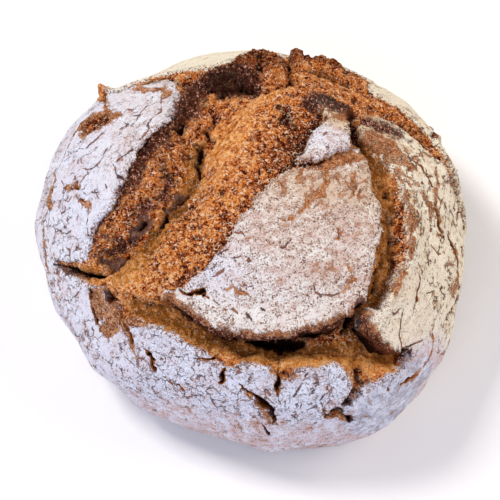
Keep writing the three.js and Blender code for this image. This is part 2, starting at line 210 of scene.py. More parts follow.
# Hair cracks that only part the flour: (u, v, half width) along each one.
hairCracks = {
    "frontBranch": [(-50.7, -92, 0.4), (-57, -91.5, 0.3), (-60, -91, 0.1)],
    "frontDiagonal": [(20.5, -82, 0.5), (18.8, -88, 0.3), (17.5, -92, 0.8), (16, -97, 0.6)],
    "frontUpright": [(19.8, -99, 0.3), (19.8, -105, 0.3)],
    "frontUprightSmall": [(13, -101, 0.3), (12.3, -106.5, 0.2)],
    "frontUprightTop": [(24, -91, 0.5), (23, -95, 0.4)],
    "frontRise": [(29, -79, 0.3), (30, -85, 0.3), (29.8, -89.5, 0.5), (31, -92, 0.4), (28.5, -94.5, 0.4),
        (28, -98, 0.5), (30, -101.5, 0.4)],
    "frontSquiggle": [(23.5, -84, 0.4), (27, -83, 0.4)],
    "frontLow": [(20, -108, 0.3), (26, -103, 0.4), (28, -100, 0.2)],
    "frontCurl": [(30.5, -102.5, 0.5), (31.5, -106, 0.4), (33.5, -110, 0.5)],
    "frontUpperLeft": [(-46, -70.5, 0.4), (-44, -71, 0.3)],
    "frontSpot": [(-33, -80.5, 0.4), (-31.5, -80.5, 0.4)],
    "frontLeftFoot": [(-33, -103, 0.2), (-29, -108, 0.4), (-27, -116, 0.3), (-24, -122, 0.1)],
    "leftLong": [(-39, 46, 0.3), (-38, 40, 0.3), (-37.3, 33, 0.6), (-38.7, 30, 0.4), (-40.5, 26, 0.7),
        (-40.3, 23, 0.5), (-42, 20, 0.6), (-44, 17.5, 0.2)],
    "leftLongUpper": [(-43.5, 46, 0.2), (-45, 38, 0.5), (-47, 30, 0.4), (-49.5, 28, 0.1)],
    "leftBreak": [(-51, 39.5, 0.6), (-53.5, 41.5, 0.6), (-56, 38, 0.2)],
    "leftDash": [(-54.5, 28.5, 0.6), (-51.3, 29.5, 0.6)],
    "leftUnderBare": [(-62, 30, 0.3), (-65, 28, 0.5), (-68, 26, 0.8), (-71, 24.3, 0.8), (-73, 24, 0.3),
        (-76.5, 25.7, 0.5)],
    "leftMiddle": [(-59, 18.5, 0.6), (-60.8, 15.5, 0.3), (-62.5, 13, 0.3), (-65.5, 11.5, 0.5),
        (-70, 11.5, 0.6), (-73, 13.3, 0.2)],
    "leftMiddleSpur": [(-70, 11.5, 0.5), (-70, 9, 0.4), (-72, 8.5, 0.5), (-75, 6.5, 0.2)],
    "leftUpperEdge": [(-53.5, 10.3, 0.5), (-50.5, 12, 0.4), (-47, 13.5, 0.9)],
    "leftLower": [(-56.5, 10.5, 0.2), (-55, 7, 0.4), (-54.3, 4, 0.6), (-52, 1, 0.6)],
    "leftCurl": [(-46.5, 9, 0.5), (-47.6, 5.5, 0.5)],
    "leftSpot": [(-60.5, 0.7, 0.5), (-60, -1, 0.5)],
    "leftSlant": [(-79.5, 14, 0.4), (-82.5, 12, 0.2)],
    "leftPitTop": [(-90, 13, 0.7), (-88, 11, 0.5), (-86, 8.5, 0.3)],
    "leftPitBeside": [(-93, 0.5, 0.5), (-89, 3, 0.6), (-86, 1, 0.2), (-84.5, 0, 0.5), (-82, 1, 0.5)],
    "leftPitDown": [(-72, -6, 0.5), (-73, -9, 0.5), (-74, -12, 0.6), (-74.5, -14.5, 0.2)],
    "leftHook": [(-91.5, -4.2, 0.5), (-88.5, -3.5, 0.3), (-87.5, -1.5, 0.4)],
    "leftCross": [(-98, -10, 0.2), (-94, -13.5, 0.6), (-90, -14.5, 0.5), (-87, -13.5, 0.2)],
    "leftTick": [(-104.5, -15, 0.6), (-101, -13, 0.5)],
    "leftFoot": [(-94.5, -20, 0.3), (-90.5, -24, 0.6), (-90.5, -28.5, 0.4)],
    "leftRim": [(-98, 16, 0.8), (-101.5, 10, 1.3), (-100, 4, 0.8), (-103, -2, 0.4), (-107, -8, 0.4)],
    "leftRimLow": [(-107, 1, 0.6), (-113, -7, 0.5), (-119, -12, 0.7), (-118, -20, 0.4)],
    "leftBack": [(-88, 37, 0.9), (-90, 33, 0.7), (-92, 28, 0.7), (-96, 25, 0.6), (-99, 21, 0.6)],
    "lowLeft": [(-83, -44, 0.2), (-90, -48, 0.5), (-97, -50, 0.2)],
    "lowLeftFoot": [(-70, -84, 0.3), (-62, -89, 0.4), (-54, -95, 0.4), (-46, -99, 0.2)],
    "middleMark": [(-10.3, -32.5, 0.6), (-12, -33, 0.6), (-13.5, -34.5, 0.3)],
    "middleDash": [(-9, -35, 0.2), (-5.5, -34.7, 0.5)],
    "middleY": [(-4, -34.3, 0.4), (-2.7, -35.7, 0.8), (-1.5, -35.4, 0.3)],
    "middleYDown": [(-3.2, -35.5, 0.4), (-3.3, -38.5, 0.1)],
    "middleHair": [(-12, -40, 0.3), (-13.2, -41.5, 0.6), (-15.5, -43, 0.6), (-17.5, -43.8, 0.2)],
    "middleLowDash": [(-5, -46.8, 0.2), (-1.2, -46, 0.4), (-0.8, -48, 0.2)],
    "middleUpperDash": [(-8, -25.2, 0.3), (-5, -25.6, 0.7), (-4, -26.5, 0.3)],
    "middleFlaw": [(8, -29.5, 0.7), (10, -27.7, 0.7)],
    "middleScratch": [(-17.5, -53.5, 0.3), (-15, -55.5, 0.3), (-13, -57, 0.5)],
    "middleScratchLow": [(-10.5, -56.3, 0.4), (-7.8, -58.3, 0.5)],
    "middleDots": [(2, -55.3, 0.6), (3, -55.8, 0.5)],
    "middleDotsLow": [(-4, -58, 0.7), (-2, -60, 0.6)],
    "middleHairLow": [(18.8, -43, 0.2), (20, -45.5, 0.4), (22, -46.8, 0.6), (25, -47, 0.4),
        (28.5, -46.2, 0.5)],
    "middleEdge": [(47, -19.5, 0.5), (49, -18.5, 0.4)],
    "leafTick": [(22.7, 13.2, 0.6), (24.3, 15, 0.5)],
    "leafSmall": [(26, 21.5, 0.5), (27.5, 21.7, 0.4)],
    "leafDots": [(24, 9.5, 0.5), (24.6, 9.2, 0.5)],
    "rightLine": [(72.5, -19.5, 0.5), (72.2, -23.5, 0.3)],
    "rightLineMiddle": [(69.3, -30, 0.4), (69, -35, 0.5)],
    "rightPale": [(77, -28.5, 0.6), (78.5, -34, 0.6)],
    "rightBranch": [(80, -23.5, 0.3), (83, -25.5, 0.5), (86, -27, 0.9), (88, -26.5, 0.4)],
    "rightBranchUp": [(86, -26.5, 0.7), (87.3, -23, 0.6)],
    "rightTwigs": [(86, -40.5, 0.3), (88.5, -43.5, 0.5), (93, -45.5, 0.5), (98, -46, 0.3)],
    "rightTwig": [(79, -46.5, 0.4), (83, -45.5, 0.5), (86, -44.5, 0.3)],
    "rightOuter": [(91, 2, 0.3), (91.5, -2, 0.5), (91.5, -6, 0.2)],
    "rightFootCrack": [(53, -53.5, 0.3), (56, -54.7, 0.6), (60, -53, 0.4)],
    "rightFootDown": [(61, -53, 0.4), (60.2, -58, 0.4), (59.8, -63, 0.5), (61, -67, 0.6),
        (63.5, -68.7, 0.5)],
    "rightFootEdge": [(63.5, -68.7, 0.6), (68, -69.5, 0.5), (76, -68.7, 0.6)],
    "rightStripes": [(62, 20, 0.3), (67, 18.5, 0.5), (70, 16.5, 0.3)],
}

# Crust edges that reach out over what tore beside them: (u, v, reach, push).
overhangs = {
    "middlePlateFront": [(-34, -54, 4, 1.5), (-25, -62, 5, 2.5), (-12, -67, 6, 3.2), (6, -65, 6, 3.4),
        (22, -59, 6, 3), (36, -50, 5, 2)],
    "rightPlateFoot": [(41, -58, 5, 2), (52, -69, 6, 3.5), (62, -70, 5, 3)],
    "middlePlateRight": [(45, -30, 4, 1), (50, -14, 5, 1.4), (45, 0, 5, 1.2), (40, 10, 4, 1)],
    "leafRight": [(22, 4, 3, 1), (32, 12, 4, 2), (35, 22, 4, 2.5), (38, 30, 4, 2)],
    "leftPlateRim": [(-74, -28, 5, 1), (-60, -9, 6, 2), (-44, 14, 6, 2), (-32, 30, 5, 1)],
}

# Crust that rose or sank: u, v, reach along u, reach along v, height.
lumps = {
    "tornRidge": (20, 40, 34, 15, 4),
    "ridgeFlank": (-6, -6, 14, 26, 2),
    "backLeftChunk": (2, 62, 9, 15, 2),
    "backRightPeak": (19, 79, 3, 5, 4),
    "backLeftSpike": (-73.5, 66, 2.2, 5, 9),
    "rightBump": (88, 43, 4, 5, 3),
    "backRightSlope": (62, 68, 20, 14, -4),
    "ridgeDent": (11, 26, 2.5, 4.5, -3),
    "middlePlate": (16, -30, 34, 36, 3),
    "middlePlateFoot": (2, -62, 30, 6, 2),
    "leafFlap": (25, 17, 7, 14, 2),
    "leftPlateEdge": (-42, 12, 12, 22, 2),
    "rightPlateEdge": (66, -16, 7, 34, 2),
}

# Torn slabs that stand up behind the ridge: height and outline.
slabs = {
    "right": (3, [(16, 85), (16, 74), (19, 66), (34, 65), (52, 63), (55, 69), (48, 76), (36, 82),
        (24, 89)]),
    "left": (1.5, [(-8, 60), (-5, 70), (-2, 80), (4, 88), (10, 86), (11.5, 76), (11, 62), (7, 50), (-1, 46),
        (-6, 52)]),
}

# Outline of all that tore open, anticlockwise from the back end of the left plate.
tornOutline = {
    "leftPlateEdge": [(-34, 52), (-31, 44), (-31, 37), (-31, 30), (-35, 25), (-40, 19), (-44, 14), (-48, 8),
        (-51, 2), (-54, -4), (-60, -9), (-66, -13), (-71, -18), (-74, -24), (-77, -31)],
    "leftSlit": [(-84, -31), (-92, -30), (-103, -27), (-106, -30), (-94, -36), (-86, -40), (-79, -43)],
    "barePatch": [(-75, -44), (-72, -46), (-70, -52), (-66, -55), (-65, -62), (-62, -65), (-60, -62),
        (-55, -62)],
    "frontEdge": [(-51, -63), (-46, -65), (-40, -68), (-36, -70), (-34, -73), (-31, -75), (-25, -76),
        (-21, -78), (-19, -81), (-14, -84), (-11, -85), (-8, -82), (-4, -82), (2, -82), (7, -82), (9, -84),
        (14, -85), (16, -81), (21, -79), (28, -77), (31, -76)],
    "gully": [(34, -77), (36, -80), (37, -84), (40, -88), (40, -92), (39, -96), (39.5, -100), (41.5, -101),
        (43, -98), (45.5, -95), (47, -92), (48, -89), (50, -86)],
    "rightBranch": [(57, -84), (63, -82), (67, -80), (71, -76), (66, -73), (62, -70), (57, -71), (52, -70),
        (46, -66), (42, -62), (40, -57), (39, -53)],
    "rightPlateEdge": [(43, -52), (47, -52), (50, -50), (52, -47), (54.5, -42), (57, -39), (60, -35),
        (62, -30), (63, -26), (63.5, -21), (63.5, -16), (63.5, -11), (62, -6), (60, 0), (59, 5), (55, 9),
        (50, 12.5), (44, 16), (41, 21), (41, 26)],
    "upperRightTear": [(45, 33), (52, 35), (60, 34), (68, 33), (76, 31), (84, 24), (90, 18), (96, 12),
        (104, 6), (112, 0), (118, -4), (122, 2), (112, 12), (104, 20), (97, 26), (90, 31), (82, 38),
        (75, 44), (70, 46), (66, 51), (62, 52), (58, 58), (55, 63)],
    "backChunks": [(54, 70), (58, 77), (62, 84), (58, 94), (40, 98), (20, 97), (6, 93), (-1, 87), (-3, 78),
        (-6, 69), (-11, 65), (-18, 62)],
    "backLeftTear": [(-26, 63), (-34, 68), (-43, 70), (-52, 67), (-62, 63), (-66, 60), (-60, 57), (-53, 60),
        (-46, 63), (-40, 64), (-38, 58)],
}

# Crust plates that stand in the torn part: how far they stand proud, and their outline.
plates = {
    "middlePlate": (0.5, [(-2, -14), (0, -10), (2, -6), (7, -2), (12, 0), (18, 1), (23, 3), (27, 5),
        (31, 9), (34, 12), (38, 12), (41, 9), (43, 6), (44, 2), (44.5, -3), (46, -6), (49, -8.5),
        (50.5, -12), (48.5, -16), (48.8, -20), (47, -26), (44, -32), (42, -37), (41, -42), (39.5, -46),
        (37, -50), (33, -53), (28, -56), (22, -58.5), (15, -61), (9, -65), (2, -66.5), (-7, -67),
        (-14, -67), (-20, -65.5), (-27, -61), (-33, -56), (-38, -51.5), (-34, -50), (-29, -48), (-25, -44),
        (-20, -40), (-15, -37.5), (-13, -33), (-11, -29), (-8, -24), (-5, -18)]),
    "leafFlap": (2.5, [(12.8, 3.2), (14.5, 6), (16, 9.5), (18.5, 12.5), (20.5, 16), (22, 19.5), (24, 22.5),
        (26, 25), (25, 28), (21, 30.5), (21, 33), (24, 37), (26.5, 38), (31, 36), (37, 33), (37, 30),
        (35.5, 27), (33.5, 24), (32.5, 21), (31.8, 17), (31.5, 14), (30.5, 10.5), (27.5, 8), (23.5, 5.7),
        (20, 4), (16, 2.8)]),
    "tearShelf": (1, [(-75, -72), (-72, -70), (-66, -69), (-64, -71), (-63.5, -75), (-66, -78), (-71, -78),
        (-74, -76)]),
}

# Small torn spots in the floured crust: (u, v, half width).
tornSpots = {
    "spike": [(-75, 68, 3), (-73, 62, 2.4), (-70, 57, 1.4), (-68, 51, 0.4)],
    "leftTop": [(-79, 40, 0.5), (-73, 38, 3.5), (-67, 37, 4), (-61, 36, 1)],
    "rightBump": [(84, 39, 1), (87, 42, 2.5), (90, 47, 2)],
    "rimUp": [(-110, 16, 1.5), (-108, 9, 1)],
    "gullyFoot": [(31.5, -105, 0.2), (33.5, -109, 0.6), (38, -106, 1), (43, -110.5, 0.8), (46, -111, 0.1)],
    "rimRight": [(109, -42, 0.5), (112, -48, 1.8), (110, -55, 0.5)],
}

# Crust that lost its flour: (u, v, half width).
barePlaces = {
    "leftTop": [(-90, 34, 1), (-87, 38, 1.8), (-84, 40.5, 2.5), (-79, 42, 4), (-72, 38, 6), (-66, 37, 6),
        (-59, 36, 3.5), (-57, 36, 2)],
    "leftRise": [(-64.5, 42, 1.6), (-66.5, 48, 1.8), (-68, 54, 2.2), (-71, 61, 3)],
    "leftPit": [(-86.5, 7.5, 1.4), (-81, 6, 2), (-76.5, 4.5, 1.8)],
    "leftPitLow": [(-78.5, -0.5, 1.2), (-74.5, -4, 1.8), (-71, -6, 1.7)],
    "leftRimUp": [(-104, 30, 1.5), (-98, 18, 2), (-101.5, 10, 2.4), (-101, 3, 1.4)],
    "leftRimDown": [(-110, -2, 1), (-116, -14, 1.6), (-118, -30, 2.2)],
    "leftTopEdge": [(-52, 56, 2.5), (-46, 52, 2.5), (-40, 50, 2), (-36, 44, 1.5)],
    "rightTop": [(44, 17, 4), (47, 20, 5), (55, 17, 6), (62, 14, 3), (67, 12, 1.5)],
    "rightUpper": [(58, 9, 1.5), (63, 8, 1.6), (67, 5.5, 1.8), (72, 3, 1.7), (77, 1, 1.6)],
    "rightMiddle": [(80.5, 13, 1), (83.5, 9, 1.4), (82.5, 4, 1.7), (84, -3, 1.2), (85.5, -8, 1.5),
        (87, -13, 1.3), (90, -17, 0.9)],
    "rightSpot": [(79.5, -3, 1.9), (80, -7, 2.2)],
    "rightOrange": [(64, 4, 1.6), (67, 0, 1.7), (69.5, -4, 1)],
    "rightEdge": [(60, 6, 1.2), (62, 0, 1), (64, -7, 1.3), (65, -16, 1.4), (65, -24, 1.3), (63, -33, 1.4),
        (58, -41, 1.6), (53, -47, 1.2)],
    "rightRim": [(94, -15, 1), (98, -20, 1.5), (101.5, -25, 1.8), (104, -30, 1.6), (105, -37, 1.9),
        (104, -44, 2.4), (102, -49, 1.3)],
    "rightFootEdge": [(40, -54, 2.2), (44, -61, 3), (50, -68, 2.7), (57, -70, 2.3), (63, -69.5, 1.2)],
    "middleTop": [(4, -1.5, 1), (12, 1.2, 1.6), (20, 2, 2.2), (28, 4.5, 3), (34, 8, 3.6), (39, 9, 2)],
    "middleLip": [(-35, -53, 2.4), (-28, -60, 3.3), (-20, -65, 3.5), (-12, -68, 3.7), (0, -67.5, 3.6),
        (10, -65.5, 3.6), (20, -60.5, 3), (29, -55.5, 3), (36, -51.5, 2.3)],
    "middleStreak": [(24.5, -1, 0.9), (24.5, -5, 0.9), (23, -7.5, 1.1), (21, -9.7, 1), (17, -13, 1.4),
        (14, -15.5, 1.3), (10.3, -17.5, 1), (5.5, -18.5, 0.6)],
    "middleCurl": [(3.5, -1.5, 0.9), (5.5, -4, 0.9), (7.5, -7, 0.9), (9.5, -10.5, 0.8)],
    "middleRing": [(17, -0.5, 0.7), (15.3, -3, 0.7), (15, -5.2, 0.8), (16.5, -5.8, 0.5)],
    "middleSmall": [(25, -0.5, 0.7), (27.5, -3, 0.7)],
    "middleTwo": [(29.8, 0, 0.8), (29.7, -7, 1), (30, -12.5, 0.6)],
    "middleThree": [(33, -3.3, 0.7), (35, -5.3, 0.8), (35.5, -8.5, 0.6)],
    "middleFour": [(37.5, 3, 1.2), (37, -2, 1.2), (36.6, -6, 0.8)],
    "middleFive": [(39, -7, 0.6), (39.5, -11, 0.7)],
    "middleFaint": [(28, -22.5, 0.4), (29, -25.5, 0.7), (24, -28, 0.6), (21, -28.5, 0.3)],
    "middleRightLow": [(32.5, -35.5, 0.7), (33, -40.5, 1.1), (32, -43.5, 1), (30.3, -45.5, 0.8),
        (30, -48, 0.6)],
    "middleOrange": [(-16, -49.3, 0.3), (-10, -48.4, 0.6), (-7.5, -49.3, 0.8), (-4, -50.6, 0.9),
        (-0.5, -51.6, 0.4)],
    "leafMottle": [(26.5, 23.5, 0.6), (30, 26, 2), (33, 27.5, 2.4), (35, 28, 2)],
    "frontLow": [(75, -88, 1.3), (81, -87.5, 2), (85, -84.5, 1.6), (89, -78, 1.3), (91, -71, 1.3),
        (88, -66, 1.2)],
    "frontEdgeNotch": [(7.5, -83.5, 1.8), (11, -85.5, 2), (15, -84, 1.2)],
    "frontSplitSide": [(-6, -96, 0.7), (-1, -103, 1.2), (4, -110, 1.4), (6.5, -118, 1.2), (11, -118, 0.9)],
    "frontUpperLeft": [(-57, -64, 3), (-50, -64, 1)],
    "barePatch": [(-75.5, -48, 3.2), (-75.5, -56, 5), (-74, -64, 6), (-76, -69, 4.2), (-79, -73, 2.6)],
    "barePatchRight": [(-70, -53, 2.4), (-68, -60, 3.4), (-66, -67, 2.2)],
    "barePatchFoot": [(-62.2, -66, 1.8), (-62, -73, 1.6), (-62.5, -79, 1.2), (-60, -84, 0.5)],
    "gullyFoot": [(31.5, -104, 1), (33.5, -109.5, 1.4), (38, -108, 1.7), (43, -111, 1.5)],
}

# Dark baked edges and hollows, partly painted shade, and where grey ash lies: (u, v, half width).
scorchMarks = {
    "leftPlateRim": [(-26, 46, 5), (-28, 36, 5), (-31, 27, 4.2), (-37, 17, 4), (-43, 9, 4), (-48, 0, 3.8),
        (-54.5, -6.5, 3), (-62.5, -12.5, 2), (-69, -20, 1.8), (-74, -29, 1)],
    "valleyPatches": [(-36, 8, 1.2), (-33, 2, 1.8), (-38, -6, 1), (-44, -9, 1.8), (-52, -14, 1)],
    "valleyLow": [(-64, -22, 1.6), (-58, -26, 2.4), (-69, -28, 2)],
    # burnt crust at the back, darkened further as painted shade on the hollow's wall
    "burntShadedHollow": [(-26, 57, 3.5), (-19, 55, 7.5), (-11, 51, 9.5), (-4, 46, 7.5), (1, 42, 3)],
    "leafCap": [(22.5, 33, 5), (26, 35, 6.5), (31, 33.5, 6), (36, 31.5, 4.4)],
    # painted shadow beside the raised flap's right edge
    "leafSideShadow": [(31, 29.5, 0.8), (34.5, 29, 1.4), (36.5, 27, 1.8), (35.5, 24.5, 1)],
    "middleLip": [(-36, -54, 1.6), (-28, -61.5, 3.4), (-18, -67, 4.2), (0, -68.5, 4.6), (10, -66.5, 4.4),
        (20, -61.5, 4.2), (30, -56, 3.6), (37, -50.5, 2.4)],
    "rightLip": [(41, -57, 2.6), (47, -64.5, 3.6), (55, -70, 3.4), (62, -71, 2.2)],
    "rightPlateTop": [(43, 28, 2.8), (51, 29, 4.6), (60, 28.5, 4.2), (67, 26, 2)],
    # browned tear edge, partly painted shadow under the back plate's edge
    "backLeftTear": [(-60, 60, 1), (-52, 63, 1.5), (-44, 67, 1)],
    "rightBump": [(85, 41, 1.5), (89, 46, 1.5)],
    # browned edge of the bare notch, partly painted shade along its step
    "barePatchRim": [(-77.5, -47, 1), (-80.5, -55, 1.2), (-82, -63, 1.2), (-81.5, -70, 0.8)],
}
ashMarks = {
    "valleyMiddle": [(-46, -15, 2), (-50, -19, 2.8), (-55, -23.5, 2.4)],
    "valleyFoot": [(-70, -32, 2.4), (-66, -33.5, 3.2), (-61, -33, 2.6)],
    "valleyTop": [(-30, -4, 1.5), (-36, -10, 1.6)],
    "gully": [(42, -84, 2.4), (46, -89, 2.4), (43, -94, 2.2)],
}

# Where the torn crumb baked golden (over 0) or red-brown (under 0): u, v, reach along
# both, how much.
crumbTones = {
    "goldFlank": (-11, 18, 8, 17, 1.1),
    "goldRidge": (-2, 36, 12, 8, 0.4),
    "orangeBack": (34, 56, 16, 7, 0.1),
    "orangeRight": (46, 38, 14, 6, 0.1),
    "redRight": (74, 36, 22, 9, -0.8),
    "goldTrench": (54, 1, 9, 13, 0.6),
    "lowerGold": (-56, -41, 11, 9, 0.7),
    "frontStrip": (14, -77, 40, 5, 0.7),
    "rightStrip": (58, -77, 18, 6, 0.8),
    "frontGold": (-42, -62, 16, 6, 0.6),
    "redFlank": (-26, -30, 14, 16, -0.3),
    "redRidge": (6, 8, 14, 9, -0.5),
    "redStar": (12, 24, 5, 6, -0.6),
    "redLeft": (-58, -16, 12, 14, -0.6),
    "redValley": (-36, 8, 8, 20, -0.3),
    "redTop": (16, 16, 8, 20, -0.4),
    "redBack": (2, 68, 13, 18, -1.6),
    "goldBack": (10, 52, 5, 5, 0.2),
    "redBackRight": (34, 78, 24, 10, -1.7),
    "redBetween": (30, 46, 24, 8, -0.3),
    "paleBare": (-74, -58, 9, 14, 1.0),
    "redBare": (-64, -58, 4, 8, -0.8),
}

# Torn crumb that never saw the full heat and stayed olive-gold: (u, v, half width).
protectedPlaces = {
    "frontTrench": [(-58, -56, 4), (-40, -62, 8), (-22, -72, 7), (0, -77, 6), (20, -74, 7), (40, -74, 8),
        (60, -77, 6)],
    "fissure": [(-22, 18, 3), (-24, 0, 5), (-34, -12, 4), (-50, -34, 7), (-60, -40, 6)],
    "rightTrench": [(44, 18, 4), (50, 8, 6), (55, -6, 6), (55, -24, 6), (50, -40, 6), (42, -54, 5)],
    "slit": [(-76, -36, 3), (-90, -35, 2)],
}

# Rock-like crumb, where it tore most roughly: u, v, reach along both, how much.
roughPlaces = {
    "backLeft": (2, 64, 14, 18, 1),
    "backRight": (34, 74, 26, 10, 0.9),
    "hollow": (-14, 52, 14, 12, 0.9),
    "upperRight": (60, 40, 26, 8, 0.6),
    "valley": (-36, 4, 10, 30, 0.7),
    "valleyFoot": (-60, -30, 16, 12, 0.8),
    "trench": (54, -14, 8, 30, 0.6),
    "gully": (44, -92, 8, 18, 0.8),
    "lowerGold": (-58, -44, 12, 10, 0.5),
}

# How the flour lies: middle u, v and reach along both, then its traits.
# cream runs from cool white to cream flour: partly toasted flour, partly a painted tint of cool light on the
# left and front and warm light on the right and back
flourTraits = ("cream", "crackle", "flake", "sand", "thin")
flourRegions = {
    "leftPlate": (-76, 12, 30, 36, (0.0, 0.5, 0.0, 0.2, 0.1)),
    "leftEdge": (-48, 20, 14, 30, (0.25, 0.4, 0.0, 0.6, 0.3)),
    "leftRim": (-118, 5, 26, 60, (0.15, 0.75, 0.0, 0.15, 0.25)),
    "leftLow": (-100, -62, 30, 30, (0.05, 0.65, 0.0, 0.15, 0.25)),
    "frontPlate": (0, -98, 52, 18, (-0.05, 0.75, 0.0, 0.4, 0.2)),
    "frontLow": (-10, -136, 56, 18, (0.05, 0.4, 0.0, 0.4, 0.6)),
    "frontRight": (76, -104, 30, 24, (-0.6, 0.15, 0.0, 0.4, 0.6)),
    "rightPlate": (84, -8, 20, 40, (0.9, 0.3, 1.0, 0.35, 0.35)),
    "rightPlateTop": (66, 6, 11, 12, (0.9, 0.3, 1.7, 0.4, 0.5)),
    "rightTopMottle": (50, 25, 10, 6, (0.9, 0.2, 0.8, 1.0, 1.3)),
    "rightPlateLow": (76, -44, 16, 14, (0.9, 0.3, 0.2, 0.4, 0.2)),
    "rightFoot": (62, -58, 16, 12, (0.95, 0.25, 0.0, 0.45, 0.1)),
    "rightRim": (122, -10, 22, 60, (0.9, 0.3, 0.8, 0.2, 0.3)),
    "middlePlate": (14, -28, 32, 26, (0.5, 0.1, 0.0, 1.1, 0.6)),
    "middlePlateTop": (24, -3, 24, 11, (0.8, 0.1, 0.0, 1.1, 1.1)),
    "middlePlateLeft": (-14, -42, 14, 10, (0.0, 0.35, 0.0, 0.5, 0.05)),
    "middlePlateFoot": (0, -56, 34, 8, (0.5, 0.4, 0.0, 0.7, 0.1)),
    "leaf": (24, 10, 10, 8, (0.05, 0.1, 0.0, 0.4, 0.1)),
    "leafTop": (31, 25, 8, 6, (1.0, 0.1, 0.0, 1.0, 1.0)),
    "backPlate": (-40, 86, 60, 18, (0.95, 0.15, 0.0, 0.15, 0.05)),
    "backRight": (92, 52, 40, 26, (0.9, 0.3, 0.4, 0.25, 0.1)),
    "back": (0, 140, 120, 30, (0.7, 0.6, 0.0, 0.25, 0.3)),
}


farOutside = -12.0      # mm, where no stroke is near
strokeReach = 20        # how far from a path, in mm, its width and depth are worked out
splitReach = 10
outlineReach = 15.0


def smooth(t):
    s = np.clip(t, 0, 1)
    return s * s * (3 - 2 * s)


def grain(places, size, seed, side=32):
    # a soft random field from -1 to 1, with lumps about size mm across
    lattice = np.random.default_rng(seed).uniform(-1, 1, (side, side, side))
    steps = places / size + 16 * side
    low = np.floor(steps).astype(int)
    t = smooth(steps - low)
    total = np.zeros(len(places))
    for corner in itertools.product((0, 1), repeat=3):
        index = (low + corner) % side
        share = np.prod(np.where(corner, t, 1 - t), axis=1)
        total += share * lattice[index[:, 0], index[:, 1], index[:, 2]]
    return total


def outlineShare(angle):
    return 1 + sum(size * np.cos(count * angle - math.radians(turn))
                   for count, size, turn in loafForm["lobes"])


def bodyPoint(angle, polar):
    # polar: 0 at the top, a quarter turn at the widest line, a half turn at the base
    s = loafForm
    above = polar <= math.pi / 2
    sine = np.abs(np.sin(polar))
    cosine = np.cos(polar)
    share = np.where(above, sine ** s["shoulder"],
                     s["baseShare"] + (1 - s["baseShare"]) * sine ** s["flankRound"])
    height = np.where(above, s["widestHeight"] + (s["dome"] - s["widestHeight"]) * cosine,
                      s["widestHeight"] * (1 - np.abs(cosine) ** s["flankDrop"]))
    radius = s["width"] / 2 * share * outlineShare(angle)
    return np.stack([radius * np.cos(angle), radius * np.sin(angle), height], axis=1)


def mapPoint(u, v):
    polar = np.hypot(u, v) / loafForm["crustRun"] * math.pi / 2
    return bodyPoint(np.arctan2(v, u), np.minimum(polar, math.pi))


def outwardAt(u, v, step=0.5):
    alongU = mapPoint(u + step, v) - mapPoint(u - step, v)
    alongV = mapPoint(u, v + step) - mapPoint(u, v - step)
    outward = np.cross(alongU, alongV)
    return outward / np.maximum(np.linalg.norm(outward, axis=1, keepdims=True), 1e-9)


def baseEdgeTurn():
    # how far round the starting cube, from the top, the base begins
    s = loafForm
    baseRadius = s["width"] / 2 * s["baseShare"]
    return math.pi / 2 * (1 + s["flankRun"] / (s["flankRun"] + baseRadius))


def crustMap(cube):
    # where a point of the starting cube lies on the crust's map
    cube = np.tan(cube * math.pi / 4)      # evens out the spacing
    toward = cube / np.linalg.norm(cube, axis=1, keepdims=True)
    turn = np.arccos(np.clip(toward[:, 2], -1, 1))
    angle = np.arctan2(toward[:, 1], toward[:, 0])
    edgeTurn = baseEdgeTurn()
    flank = math.pi / 2 * (1 + (turn - math.pi / 2) / (edgeTurn - math.pi / 2))
    polar = np.minimum(np.where(turn <= math.pi / 2, turn, flank), math.pi)
    inward = np.minimum((math.pi - turn) / (math.pi - edgeTurn), 1)      # under 1 on the base
    run = polar / (math.pi / 2) * loafForm["crustRun"]
    return run * np.cos(angle), run * np.sin(angle), angle, polar, turn, inward


def toStretch(u, v, start, end):
    # distance to one straight stretch, and how far along it the nearest point is
    du, dv = end[0] - start[0], end[1] - start[1]
    t = np.clip(((u - start[0]) * du + (v - start[1]) * dv) / (du * du + dv * dv), 0, 1)
    return np.hypot(u - start[0] - t * du, v - start[1] - t * dv), t


def stretches(u, v, path, reach=strokeReach):
    # for each stretch of a path: the points near it, how far off they are, and what
    # the path gives after (u, v), part of the way along
    for start, end in zip(path, path[1:]):
        lowU, highU = sorted((start[0], end[0]))
        lowV, highV = sorted((start[1], end[1]))
        near = np.flatnonzero((u > lowU - reach) & (u < highU + reach)
                              & (v > lowV - reach) & (v < highV + reach))
        away, t = toStretch(u[near], v[near], start, end)
        yield near, away, [a + (b - a) * t for a, b in zip(start[2:], end[2:])]


def crackDepth(u, v, torn, floor, onPlates, path):
    deepest = np.zeros(len(u))
    for near, away, (width, depth) in stretches(u, v, path):
        wall = (away / width - floor) / (1 - floor)
        deepest[near] = np.maximum(deepest[near], depth * (1 - smooth(wall)))
    return deepest * (onPlates + (1 - onPlates) * smooth(torn / 1.5 + 0.5))


def splitDepth(u, v, path, wider):
    deepest = np.zeros(len(u))
    for near, away, (width, depth) in stretches(u, v, path, splitReach):
        foot = width * wider[near] + 0.4
        deepest[near] = np.maximum(deepest[near], depth * smooth(1.25 - 1.25 * away / foot))
    return deepest


def strokeShare(u, v, path):
    # a soft stroke: at each point, reach and strength, falling off like a bell
    best = np.zeros(len(u))
    for near, away, (reach, strength) in stretches(u, v, path):
        best[near] = np.maximum(best[near], strength * np.exp(-(away / reach) ** 2))
    return best


def insideStrokes(u, v, strokes, wider=None):
    # how far inside the nearest stroke, in mm; negative outside
    best = np.full(len(u), farOutside)
    for path in strokes.values():
        for near, away, (width,) in stretches(u, v, [point[:3] for point in path]):
            if wider is not None:
                width = width * wider[near]
            best[near] = np.maximum(best[near], width - away)
    return best


